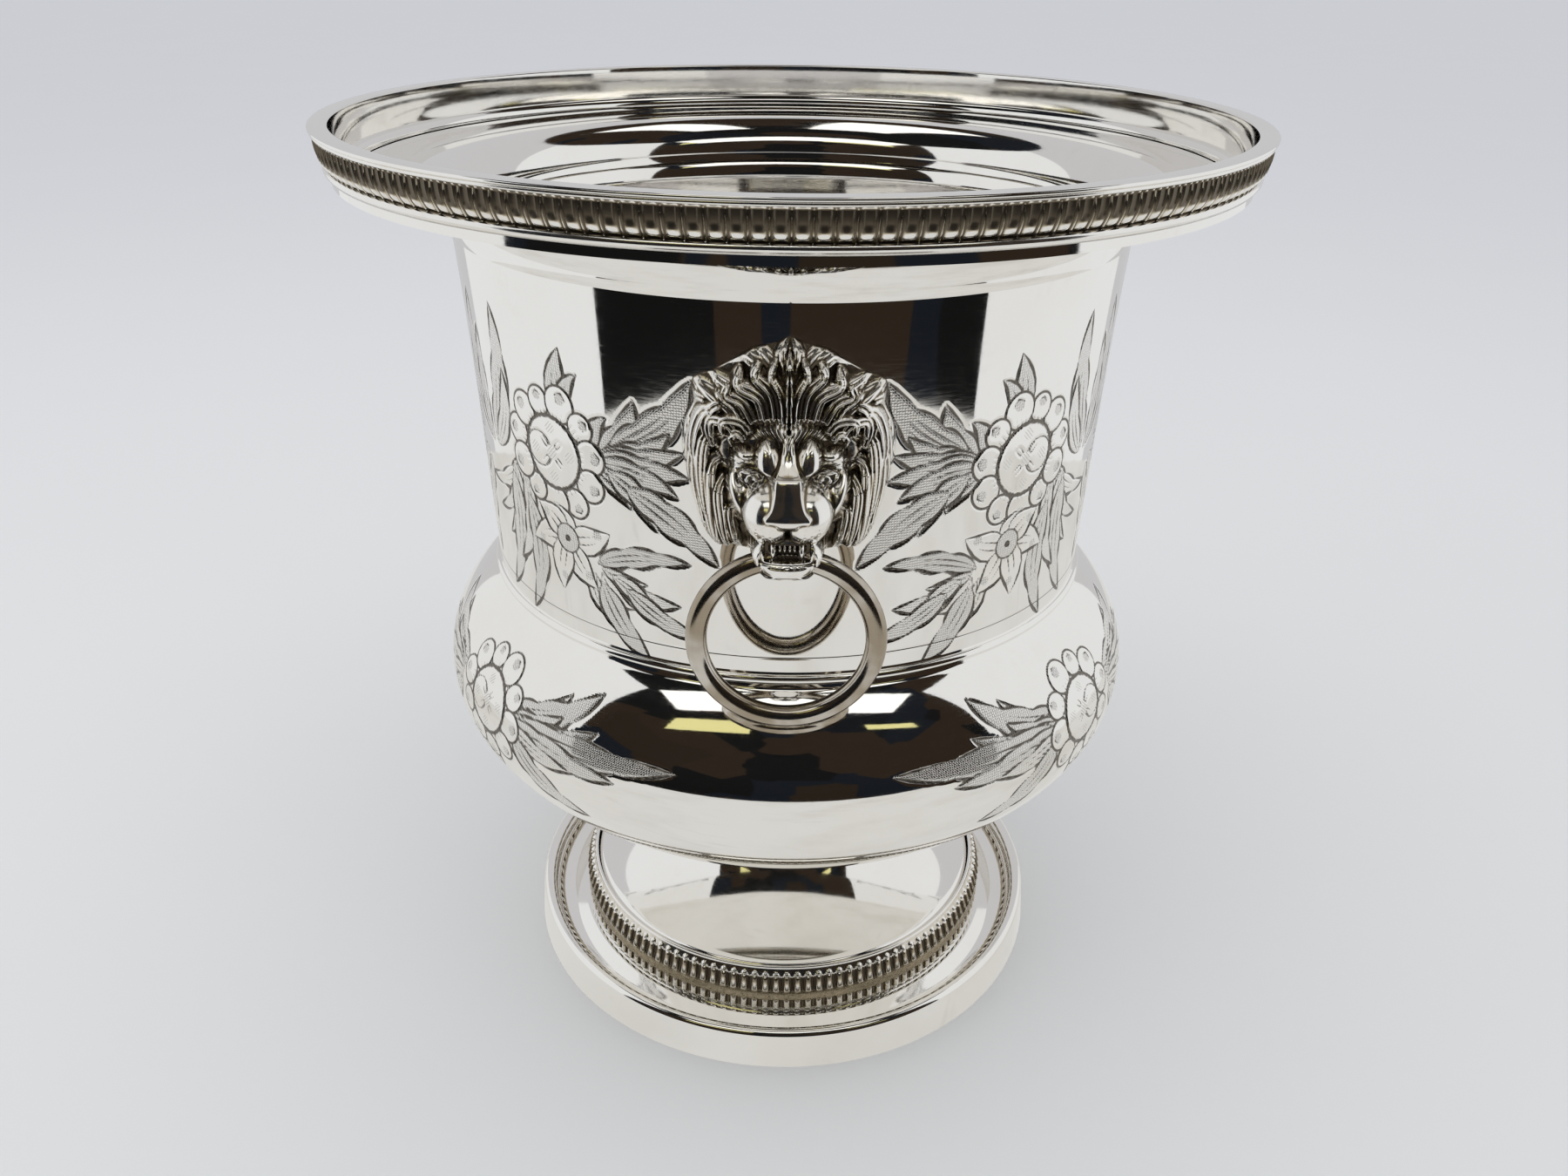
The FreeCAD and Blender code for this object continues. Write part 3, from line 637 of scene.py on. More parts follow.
# Lobes of the leaves on the wall: root, tip, bow, width, filling.
WALL_LEAVES = (
    # far sprays, drawn first
    ((90, 176), (97, 214), -0.12, 9, 0.8), ((88, 177), (80.5, 214), 0.10, 9, 0.9),
    ((87, 176), (78.5, 198.5), 0.12, 6, 0.6), ((92, 178), (92.5, 206), -0.05, 6, 0.5),
    ((100, 176), (110, 203), -0.16, 8, 0.8), ((102, 172), (116, 188), -0.16, 7, 0.6),
    ((72, 178), (96, 166), -0.14, 5, 0.0), ((74, 177), (92, 158), -0.16, 5, 0.4),
    ((78, 175), (86.5, 152), -0.18, 6, 0.5), ((79, 172), (88.5, 136), -0.12, 7, 0.8),
    ((73, 174), (80.5, 147), -0.16, 6, 0.6), ((72, 168), (76.5, 134), -0.13, 7, 0.9),
    ((96, 170), (100, 140), 0.12, 7, 0.7), ((98, 172), (109, 147), 0.14, 6, 0.5),
    ((102, 172), (119, 157), 0.16, 6, 0.6),
    ((132.7, 168), (117, 205), 0.14, 8, 0.8), ((132.7, 172), (123, 212), 0.10, 8, 0.7),
    ((132.7, 178), (132.7, 216), 0.0, 10, 0.9), ((132.7, 160), (120, 175), 0.18, 7, 0.5),
    ((132.7, 166), (120, 140), -0.14, 8, 0.8), ((132.7, 160), (132.7, 135), 0.0, 9, 0.6),
    # the leaf over the big flower
    ((58.5, 193), (59.0, 203.5), 0.12, 4.0, 0.0), ((57.0, 193), (54.0, 209), -0.05, 6.0, 1.0),
    ((54.5, 193), (49.0, 203.6), -0.16, 4.0, 0.9),
    # the acanthus between the flower and the mask: upper, middle and lower lobes
    ((47, 184.5), (41.6, 195.0), -0.16, 4.4, 1.0), ((45, 185.5), (34.6, 200.4), 0.12, 6.4, 1.0),
    ((42, 187.5), (20.6, 206.8), 0.12, 8.2, 1.0), ((42, 187), (26.0, 193.8), 0.14, 5.2, 1.0),
    ((46, 185), (22.5, 189.4), 0.05, 6.0, 1.0), ((46, 184), (21.5, 183.0), -0.02, 6.4, 1.0),
    ((46, 182.5), (24.5, 177.8), -0.10, 5.6, 1.0), ((47, 181.5), (36.8, 173.2), -0.14, 5.0, 0.7),
    ((43, 181.5), (30.2, 168.4), -0.12, 6.0, 0.8), ((38, 178.5), (15.5, 161.6), -0.06, 7.4, 1.0),
    # the sprays from the small flower
    ((48, 157.0), (37.4, 162.2), 0.10, 3.4, 0.3), ((48, 156.6), (22.0, 161.4), -0.08, 5.2, 0.9),
    ((47, 155.8), (33.5, 154.2), 0.08, 3.6, 0.5), ((44, 154.8), (25.0, 150.0), 0.10, 5.0, 0.5),
    ((44, 154.4), (29.6, 142.2), -0.10, 5.0, 0.5), ((40, 152.0), (20.0, 141.4), 0.06, 5.2, 0.7),
    ((47, 154.6), (37.6, 146.4), 0.14, 4.0, 0.2), ((49, 154), (45.0, 142.0), 0.16, 4.6, 0.3),
    ((47, 152), (33.8, 132.8), 0.08, 7.0, 0.8),
)

# Lobes on the bowl, each with its twin on the flower's far side.
BOWL_LEAVES = (
    ((82, 12), (60, 22), 0.16, 5.5, 0.6), ((82, 11), (50.5, 24.6), 0.12, 8.0, 1.0),
    ((80, 9.5), (60.5, 15.4), 0.10, 5.0, 1.0), ((80, 8.5), (49, 14.6), 0.08, 6.0, 1.0),
    ((78, 8.5), (26.5, 9.6), 0.02, 7.4, 1.0), ((80, 7.5), (42.5, 3.4), 0.02, 6.6, 1.0),
    ((80, 6.5), (56, 2.0), 0.06, 5.0, 0.6), ((80, 5), (70.5, -0.8), 0.16, 4.0, 0.3),
    ((80, 4.5), (63.5, -4.0), 0.12, 5.0, 0.5), ((78, 4.0), (52.5, -12.0), 0.10, 7.4, 1.0),
)
BOWL_FLOWER = 92.0

# The low spray under the bowl's flower, which points towards the mask.
LOW_LEAVES = (
    ((134, -30), (98, -25), 0.10, 5.0, 0.5), ((134, -31), (71.5, -33.5), -0.06, 7.0, 1.0),
    ((134, -32), (92, -38.5), -0.10, 5.5, 0.8), ((134, -30), (120, -17), 0.14, 5.0, 0.6),
    ((132, -31), (151, -27), -0.12, 5.5, 0.8), ((132, -32), (150, -37), 0.12, 5.5, 0.8),
)


def engrave_wall(design):
    design.spray(WALL_LEAVES)
    design.big_flower((60.0, 182.2))
    design.small_flower((57.5, 160.6), ((60.5, 169), (71.5, 156.5), (43.4, 165.4), (48.6, 149.2),
                                        (60.8, 145.4), (67.5, 167.5)))
    design.stroke(np.array([(0, 138.5), (140, 138.5)]), 0.14, 0.5, 0.14)


def engrave_bowl(design):
    for root, tip, bow, width, fill in BOWL_LEAVES:
        twin_root = (2 * BOWL_FLOWER - root[0] + 6, root[1])
        twin_tip = (2 * BOWL_FLOWER - tip[0] + 6, tip[1])
        design.flame(twin_root, twin_tip, -bow, width, fill)
        design.flame(root, tip, bow, width, fill)
    for reach in range(3):
        design.flame((88 + 5 * reach, -3), (108 + 13 * reach, -22 + 2 * reach), -0.18, 5.0, 0.3)
    design.spray(LOW_LEAVES)
    design.big_flower((BOWL_FLOWER, 7.5), 10)


# --- wall and bowl ---------------------------------------------------------------------------

# The radius at which the wall's pattern is as wide as it is drawn.
WALL_PATTERN = 84.5
WALL_STEP = 0.42
BOWL_STEP = 0.5
SHELL_AROUND = 1240
CUT_DEPTH = 0.11
INNER_SKIP = 8


def wall_outer():
    """The wall's outer face from its top down."""
    return join_points(arc_between((WALL_TOP_RADIUS, WALL_TOP), WALL_WAIST, WALL_FLARE), WAIST)


def chained_arcs(start, bends):
    """Tangent arcs from a point where the outline is upright: (radius, angle reached) each."""
    runs = []
    angle = 0.0
    last = np.array(start, float)
    for radius, reached in bends:
        turned = math.radians(angle)
        centre = last - radius * np.array([math.cos(turned), math.sin(turned)])
        runs.append(arc(centre, radius, angle, reached, 24))
        last = runs[-1][-1]
        angle = reached
    return np.concatenate(runs)


def bowl_outer():
    """The bowl's outer face from the waist down to the middle of its base."""
    equator = (BOWL, BOWL_EQUATOR)
    shoulder = chained_arcs(equator, ((26.8, 29.2), (42.5, 54.0)))[::-1]
    belly = chained_arcs(equator, ((28.4, -34.6), (57.4, -59.6), (121.9, -79.8)))
    edge_turn = math.radians(54.0)
    edge_centre = shoulder[0] + 2.0 * np.array([math.cos(edge_turn), math.sin(edge_turn)])
    edge = arc(edge_centre, 2.0, 180, 234, 6)
    return join_points(edge, shoulder, belly, (0.0, BOWL_BASE))


def resample(outline, step):
    """The outline again with even steps."""
    along = np.concatenate([[0], np.cumsum(np.linalg.norm(np.diff(outline, axis=0), axis=1))])
    marks = np.linspace(0, along[-1], int(along[-1] / step) + 1)
    return np.stack([np.interp(marks, along, column) for column in outline.T], 1), marks


def engraved_shell(name, outer, step, radius, level, draw):
    """A spun sheet with a pattern cut in its outer face, the same in each quarter turn.
    The pattern's heights are measured up the face from the outline's point at `level`."""
    outer, along = resample(outer, step)
    lower_half = np.nonzero(outer[:, 1] <= level)[0][0]
    up = (along[lower_half] - along) + (level if name == "upper_wall" else 0.0)
    around = SHELL_AROUND
    quarter = around // 4
    design = Engraving(np.linspace(0, math.pi / 2, quarter + 1) * radius, up)
    draw(design)
    fold = quarter - np.abs(np.arange(around) % (around // 2) - quarter)
    cut = design.line[:, fold]
    depth = CUT_DEPTH * np.clip((0.12 - cut) / 0.34, 0, 1)
    normals = side_normals(outer)
    inner = (outer - SHEET * normals)[::-INNER_SKIP]
    inner = inner[inner[:, 0] > 0.5]
    rows = turn_rows(np.concatenate([outer, inner]), around)
    flat = turn_rows(normals, around)
    rows[:len(outer)] -= flat * depth[:, :, None]
    piece = grid_object(name, rows)
    blank = np.zeros((len(inner), around))
    set_points(piece, "cut", np.concatenate([cut, blank + FAR]))
    set_points(piece, "stipple", np.concatenate([design.stipple[:, fold], blank]))
    set_points(piece, "hatch", np.concatenate([design.hatch[:, fold], blank]))
    across = np.broadcast_to(design.across[fold], cut.shape)
    lie = np.stack([across, np.broadcast_to(up[:, None], cut.shape), np.zeros(cut.shape)], -1)
    lie = np.concatenate([lie, np.zeros((len(inner), around, 3))])
    layer = piece.data.attributes.new("sheet", "FLOAT_VECTOR", "POINT")
    layer.data.foreach_set("vector", lie.astype(np.float32).ravel())
    return smooth(piece, 50)


def make_wall(engraved, polished):
    """The engraved wall and bowl, and the wire over their joint."""
    wall = engraved_shell("upper_wall", wall_outer(), WALL_STEP, WALL_PATTERN, WAIST[1] + 0.3,
                          engrave_wall)
    dress(wall, engraved, "bucket", "engraved_silver", "upper_wall")
    bowl = engraved_shell("lower_bowl", bowl_outer()[:-1], BOWL_STEP, BOWL, BOWL_EQUATOR,
                          engrave_bowl)
    dress(bowl, engraved, "bucket", "engraved_silver", "lower_bowl")
    low = bottom_mm("waist_moulding")
    inner = WAIST[0] + 0.1
    moulding = join_points((inner, low + 3.2), (inner, low),
                           arc((inner, low + 1.3), 1.3, -90, 90, 14), (inner + 0.25, low + 2.7))
    turned("waist_moulding", "waist_moulding", moulding, polished)


# --- lion mask -------------------------------------------------------------------------------

MASK_CENTRE = 190.0
MASK_RINGS = 150
MASK_ROUND = 560
# The mane's outline on the right, from the top tuft down to the chin: across, height.
MANE_OUTLINE = ((0, 217.0), (3.4, 215.4), (8.0, 214.2), (12.4, 211.2), (16.4, 208.9), (20.4, 206.9),
                (20.6, 201.8), (22.6, 197.0), (23.2, 190.5), (22.2, 184.0), (20.6, 177.5),
                (18.8, 171.8), (15.8, 167.8), (12.6, 168.4), (10.0, 167.6), (7.6, 166.9),
                (4.4, 164.4), (0, 163.6))
# Locks of the mane on the right, from back to front: path, half-width, rise, strands.
MANE_LOCKS = (
    (((14.4, 202.0), (19.4, 203.4), (22.3, 198), (22.0, 190)), 2.0, 3.6, 3),
    (((15.5, 197.0), (21.0, 197.2), (22.6, 190), (21.0, 180)), 2.2, 3.8, 3),
    (((15.5, 193.0), (20.0, 192.6), (21.2, 184), (18.6, 171.8)), 2.3, 4.2, 4),
    (((12.6, 200.8), (17.6, 201.4), (20.2, 195), (19.6, 186.0)), 2.1, 4.8, 3),
    (((11.6, 203.4), (15.6, 202.8), (17.6, 198.4), (15.4, 193.4)), 1.9, 4.6, 3),
    (((18.4, 203.2), (22.6, 200.6), (21.4, 196.4), (23.4, 192.6)), 1.4, 3.6, 2),
    (((20.4, 189.6), (22.8, 185.4), (20.4, 181.2), (21.8, 177.0)), 1.5, 3.6, 3),
    (((18.8, 180.6), (20.4, 176.4), (17.6, 173.4), (18.2, 169.8)), 1.5, 3.6, 3),
    (((13.4, 196.4), (17.8, 195.6), (19.0, 187), (17.6, 175.5)), 2.1, 5.2, 4),
    (((13.8, 191.4), (17.0, 189.0), (17.4, 180), (15.6, 168.2)), 2.1, 5.0, 3),
    (((13.2, 187.4), (15.2, 183.6), (14.6, 176), (12.8, 168.6)), 2.0, 4.8, 4),
    (((12.0, 183.0), (13.0, 178.6), (12.0, 173), (10.6, 168.0)), 1.7, 4.2, 3),
    (((1.4, 203), (4.8, 210), (9.0, 213.0), (12.0, 211.4)), 2.3, 2.8, 3),
    (((0.8, 203), (2.6, 210), (5.4, 213.6), (7.6, 214.0)), 2.2, 3.0, 3),
    (((0.4, 203), (0.9, 210), (1.9, 213.6), (1.0, 216.6)), 1.9, 3.4, 3),
    (((6.6, 201), (10.6, 205.6), (14.6, 207.6), (16.6, 208.6)), 2.0, 3.6, 3),
    (((10.0, 200), (13.2, 203.6), (16.6, 205.0), (20.3, 206.9)), 2.6, 3.8, 2),
    (((8.8, 199.6), (11.2, 203.4), (13.8, 204.8), (15.6, 206.6)), 1.6, 5.0, 3),
    (((6.4, 198.6), (9.6, 204.2), (13.0, 205.4), (12.2, 208.2)), 2.0, 5.0, 3),
    (((4.4, 198.8), (6.0, 205.6), (10.4, 207.6), (10.2, 210.8)), 2.0, 5.4, 3),
    (((2.6, 199), (3.6, 206.6), (7.0, 210.0), (5.8, 213.0)), 1.9, 5.6, 3),
    (((1.0, 198), (1.5, 206), (3.6, 210.2), (2.4, 213.8)), 1.5, 6.0, 3),
    (((0.2, 197), (0.3, 205), (0.3, 210.2), (0.0, 214.8)), 0.9, 6.6, 2),
    (((10.4, 194.6), (12.4, 199.6), (16.4, 199.8), (16.2, 195.4)), 1.8, 5.2, 3),
    (((7.2, 196.6), (9.8, 200.6), (13.8, 200.4), (13.4, 196.4)), 1.5, 5.6, 3),
    (((8.4, 196.0), (10.4, 198.6), (12.4, 197.6), (11.4, 195.4)), 1.1, 6.0, 2),
)

# Folds of the face on the right: path, half-width, rise.
FACE_FOLDS = (
    # the eye's lids, and the bag under it
    (((4.3, 187.0), (6.0, 189.6), (8.4, 190.0), (11.3, 190.2)), 0.42, 0.95),
    (((4.5, 187.0), (6.6, 186.2), (9.0, 187.0), (11.0, 189.6)), 0.42, 0.75),
    (((5.0, 185.4), (7.2, 184.5), (9.4, 185.4)), 0.6, 0.35),
    # the bright fold from the eye's outer corner down to the muzzle
    (((12.4, 190.6), (12.0, 187.0), (10.4, 182.8), (8.4, 179.4)), 1.35, 1.9),
)
# Folds of the beard round the lower lip.
BEARD_FOLDS = (
    (((5.6, 176.0), (6.3, 173.0), (5.8, 169.6), (2.8, 168.0), (0, 167.7)), 0.5, 1.4),
    (((6.6, 176.6), (7.2, 172.5), (6.4, 168.4), (3.4, 166.6), (0, 166.2)), 0.6, 1.6),
    (((8.8, 172.0), (7.6, 167.6), (4.0, 165.2), (0.9, 164.9), (0, 164.4)), 0.6, 1.5),
)


def smooth_steps(z, heights, values):
    """A smooth curve through a few values at rising heights."""
    points = curve_through(np.stack([heights, values], 1), 8)
    return np.interp(z, points[:, 0], points[:, 1])


def smooth_max(first, second, blend):
    return (first + second + np.sqrt((first - second) ** 2 + blend ** 2)) / 2


def curve_through(points, steps=10):
    """A smooth run through a few points (Catmull-Rom)."""
    knots = np.asarray(points, float)
    knots = np.concatenate([[2 * knots[0] - knots[1]], knots, [2 * knots[-1] - knots[-2]]])
    t = np.linspace(0, 1, steps, endpoint=False)[:, None]
    runs = []
    for a, b, c, d in zip(knots, knots[1:], knots[2:], knots[3:]):
        runs.append((2 * b + (c - a) * t + (2 * a - 5 * b + 4 * c - d) * t ** 2
                     + (3 * b - a - 3 * c + d) * t ** 3) / 2)
    return np.concatenate(runs + [knots[-2:-1]])


def follow(path, x, z):
    """How far places are from a run of points, signed by their side of it, and how far along
    it, from 0 to 1."""
    gap = np.full(x.shape, 1e3)
    along = np.zeros(x.shape)
    lengths = np.linalg.norm(np.diff(path, axis=0), axis=1)
    reached = np.concatenate([[0], np.cumsum(lengths)]) / lengths.sum()
    for index, (start, end) in enumerate(zip(path, path[1:])):
        step = end - start
        dx, dz = x - start[0], z - start[1]
        t = np.clip((dx * step[0] + dz * step[1]) / (step @ step), 0, 1)
        distance = np.hypot(dx - t * step[0], dz - t * step[1])
        closer = distance < np.abs(gap)
        side = np.where(step[0] * dz - step[1] * dx < 0, -1.0, 1.0)
        gap = np.where(closer, side * distance, gap)
        along = np.where(closer, reached[index] + t * (reached[index + 1] - reached[index]), along)
    return gap, along


def wall_radius(z):
    """The wall's outer radius at a height, for the parts that lie on it."""
    outline = wall_outer()
    return np.interp(z, outline[::-1, 1], outline[::-1, 0])


def mask_outline(angle):
    """The mask's reach from its centre at an angle, from 90 degrees up round to the right."""
    points = curve_through(MANE_OUTLINE, 8) - (0, MASK_CENTRE)
    turn = np.arctan2(points[:, 1], points[:, 0])
    reach = np.hypot(points[:, 0], points[:, 1])
    return np.interp(angle, turn[::-1], reach[::-1])


def dome(x, z, centre, half_sizes, top, floor, power=0.5):
    """A rounded swelling up to `top`, on nothing lower than `floor`."""
    inside = 1 - ((x - centre[0]) / half_sizes[0]) ** 2 - ((z - centre[1]) / half_sizes[1]) ** 2
    return np.where(inside > 0, floor + (top - floor) * np.clip(inside, 0, 1) ** power, 0.0)


def ridge(height, x, z, path, half_width, rise):
    """A low rounded ridge (or a groove, with a negative rise) along a path."""
    gap, along = follow(curve_through(path), x, z)
    taper = np.clip(np.minimum(along, 1 - along) * 6 + 0.25, 0, 1)
    return height + rise * taper * np.exp(-np.abs(gap / half_width) ** 2.0)


def fold(height, x, z, ridges):
    for path, half_width, rise in ridges:
        height = ridge(height, x, z, path, half_width, rise)
    return height


def mane(x, z, floor):
    """The mane's locks, each laid over those before it, with combed strands along it."""
    height = floor.copy()
    for path, half_width, rise, strands in MANE_LOCKS:
        gap, along = follow(curve_through(path), x, z)
        swell = np.sin(np.pi * np.clip(along * 0.9 + 0.12, 0, 1)) ** 0.7
        half = half_width * (0.35 + 0.65 * swell)
        across = gap / half
        crown = np.sqrt(np.clip(1 - across ** 2, 0, 1))
        comb = np.abs(np.cos(np.pi * (across * strands / 2 + 0.25 * np.sin(4 * along))))
        fade = np.clip(along * 5, 0, 1) * np.clip((1 - along) * 7 + 0.35, 0, 1)
        lift = floor + rise * fade * (0.35 + 0.65 * crown) + comb * crown * fade - 0.6
        height = np.where(crown > 0, np.maximum(height, lift), height)
    return height


def face(x, z, height):
    """The lion's face on the right, over the mane's floor: reach from the bucket's axis."""
    low = height - 4
    brow_line = dome(x, z, (0, 192.5), (12.6, 12.5), 95.0, 88.0, 0.55)
    height = smooth_max(height, brow_line, 0.5)
    height = smooth_max(height, dome(x, z, (8.6, 184.0), (5.2, 8.0), 94.6, 88.0), 0.6)
    height = smooth_max(height, dome(x, z, (0, 200.0), (4.5, 6.0), 96.3, 88.0), 0.8)
    # the sockets, under overhanging brows
    socket = np.exp(-(((x - 7.4) / 3.6) ** 2 + ((z - 188.6) / 2.3) ** 2) ** 1.5)
    height = height - 2.3 * socket
    # a bare boss over each eye: a long slope above, a blunt end below, leaning outwards
    down = z - 191.4 - 0.45 * (x - 3.9)
    boss = dome(x - 3.9, down, (0, 0), (3.3, np.where(down > 0, 6.2, 1.5)), 99.3, 92.4, 0.42)
    height = smooth_max(height, boss, 0.3)
    height = ridge(height, x, z, ((0, 192.6), (0, 197.0), (0, 203.0)), 0.55, -1.3)
    height = smooth_max(height, dome(x, z, (8.6, 193.8), (3.2, 2.1), 95.9, 88.0), 0.6)
    # the eye: a ball with a ringed pupil, between two lids
    eye = (x - 7.6, z - 188.2 - 0.22 * (x - 7.6))
    height = np.maximum(height, dome(*eye, (0, 0), (3.1, 1.8), 94.5, 92.3))
    pupil = np.hypot(eye[0], eye[1])
    height = height + 0.34 * np.exp(-((pupil - 0.95) / 0.22) ** 2)
    height = height - 0.35 * np.exp(-(pupil / 0.4) ** 2)
    height = fold(height, x, z, FACE_FOLDS)
    # the nose: a flat bridge that widens to the wings, cut off square below
    bridge_top = smooth_steps(z, (180.0, 181.2, 183.2, 187.0, 190.8, 192.0, 194.5, 199.0),
                              (101.0, 104.0, 105.4, 104.3, 102.9, 101.0, 98.4, 96.0))
    bridge_half = smooth_steps(z, (180.6, 181.8, 183.4, 185.4, 188.0, 191.2, 193.6, 199.0),
                               (3.0, 4.6, 5.4, 3.9, 3.2, 2.9, 1.7, 1.0))
    beyond = np.clip(x - 0.84 * bridge_half, 0, 3)
    bridge = bridge_top - 0.95 * (x / bridge_half) ** 2 - 3.6 * beyond ** 1.25
    bridge = np.where((z > 180.2 + 0.06 * x ** 2) & (z < 199), bridge, low)
    height = smooth_max(height, bridge, 0.35)
    wing = np.exp(-(((x - 3.3) / 0.9) ** 2 + ((z - 181.9) / 0.55) ** 2))
    height = height - 1.4 * wing
    # the muzzle: two whisker pads that meet in a V, over the mouth
    pad = dome(x, z, (3.6, 181.9), (6.2, 6.9), 103.9, 95.0, 0.5)
    pad = pad - 1.2 * np.exp(-(x / 0.45) ** 2) * np.clip((182 - z) / 3, 0, 1)
    height = smooth_max(height, pad, 0.4)
    for row in range(3):
        for dot in range(3):
            spot = np.hypot(x - 3.6 - 1.5 * dot, z - 177.6 - 1.15 * row - 0.35 * dot)
            height = height - 0.12 * np.exp(-(spot / 0.22) ** 2)
    return height


def mouth(x, z, height):
    """The jaws: teeth in a dark mouth, a flat lower lip and the beard under it."""
    jaw = dome(x, z, (0, 172.0), (8.0, 6.6), 102.4, 93.0, 0.2)
    height = smooth_max(height, np.where(z < 178, jaw, 0), 0.4)
    hollow = (x < 4.9) & (z > 172.6) & (z < 176.3)
    height = np.where(hollow, 99.4, height)
    canine = dome(x, z, (3.0, 174.9), (0.95, 2.2), 102.4, 98.0, 0.4)
    height = np.maximum(height, canine)
    for place in (0.55, 1.55):
        height = np.maximum(height, dome(x, z, (place, 175.4), (0.5, 1.4), 101.6, 98.0, 0.4))
    lip = 103.0 - 0.03 * x ** 2 - 2.2 * np.clip(np.abs(z - 170.2) - 1.5, 0, 2) ** 1.3
    lip = np.where((x < 5.7) & (np.abs(z - 170.2) < 2.8), lip, 0)
    height = np.maximum(height, lip)
    height = ridge(height, x, z, ((0, 171.3), (2.4, 171.3), (4.2, 171.5)), 0.22, -0.5)
    return fold(height, x, z, BEARD_FOLDS)


def brow_hair(x, z, height):
    """Short combed hair on the forehead, from the brows back to the mane."""
    reach = np.clip(1 - ((x / 8.5) ** 2 + ((z - 199.3) / 4.2) ** 2), 0, 1)
    fan = np.arctan2(x, z - 187.0)
    return height + 0.42 * np.sqrt(reach) * (np.abs(np.cos(38 * fan + 1.5 * np.sin(z))) - 0.4)


def mask_height(x, z):
    """The mask's reach from the bucket's axis over a point, and the wall's there."""
    side = np.abs(x)
    angle = np.arctan2(z - MASK_CENTRE, side)
    out = np.hypot(side, z - MASK_CENTRE) / mask_outline(angle)
    wall = np.sqrt(np.maximum(wall_radius(z) ** 2 - x ** 2, 0))
    edge = np.sqrt(np.clip(1 - np.clip(out, 0, 1) ** 9, 0, 1))
    floor = wall + 0.9 + 5.4 * np.clip(1 - out ** 2, 0, 1)
    height = mane(side, z, floor)
    height = face(side, z, height)
    height = mouth(side, z, height)
    height = brow_hair(side, z, height)
    return wall + (height - wall) * edge, wall


# --- neck, stem and foot ---------------------------------------------------------------------


def make_foot(polished, cast):
    """The neck collar, the trumpet stem and its gadroon ring, the dish of the foot and its wire."""
    top = top_mm("neck_collar")
    collar = join_points((NECK_BORE, top), (NECK_BORE, NECK_HEIGHT), (NECK - 1.4, NECK_HEIGHT),
                         arc((NECK - NECK_ROUND, (top + NECK_HEIGHT) / 2), NECK_ROUND, -75, 75, 14),
                         (NECK - 2.2, top))
    turned("neck_collar", "neck_collar", collar, polished, AROUND)
    stem_end = (SKIRT - 1.9, RING_TOP - 0.5)
    bend_end = NECK_HEIGHT - STEM_ROUND
    stem = join_points((STUD_HOLE, NECK_HEIGHT),
                       arc((NECK - STEM_ROUND, bend_end), STEM_ROUND, 90, 14, 10),
                       arc_between((NECK, bend_end), stem_end, STEM_BEND, 48),
                       arc((SKIRT - STEM_ROUND, RING_TOP - 2.95), STEM_ROUND, 72, 0, 12),
                       (SKIRT, bottom_mm("foot_stem")))
    turned("foot_stem", "foot_stem", sheet_outline(stem), polished)
    dress(foot_ring(), cast, "bucket", "cast_silver", "foot_gadroon_ring")
    shoulder = top_mm("foot_base") - SHOULDER_ROLL
    edge = FOOT_RING + 0.2
    hollow = (edge + DISH_HOLLOW[0], RING_BOTTOM + DISH_HOLLOW[1])
    dish = join_points((SKIRT, RING_BOTTOM),
                       arc((edge, RING_BOTTOM - DISH_LIP), DISH_LIP, 90, 68, 5),
                       arc(hollow, DISH_BEND, -112, -15, 24),
                       arc((FOOT - 2.75, shoulder), SHOULDER_ROLL, 165, 4, 18), (FOOT, 0.0))
    turned("foot_base", "foot_base", sheet_outline(dish), polished)
    wire_radius = radius_mm("foot_wire")
    wire_top = top_mm("foot_wire")
    wire = join_points((wire_radius, 0), (wire_radius, wire_top),
                       arc((wire_radius - 0.9, wire_top - WIRE_ROUND), WIRE_ROUND, 90, 180, 8),
                       (wire_radius - 2.0, 0.3), (wire_radius - 1.7, 0.0))
    turned("foot_wire", "foot_wire", wire, polished, AROUND)


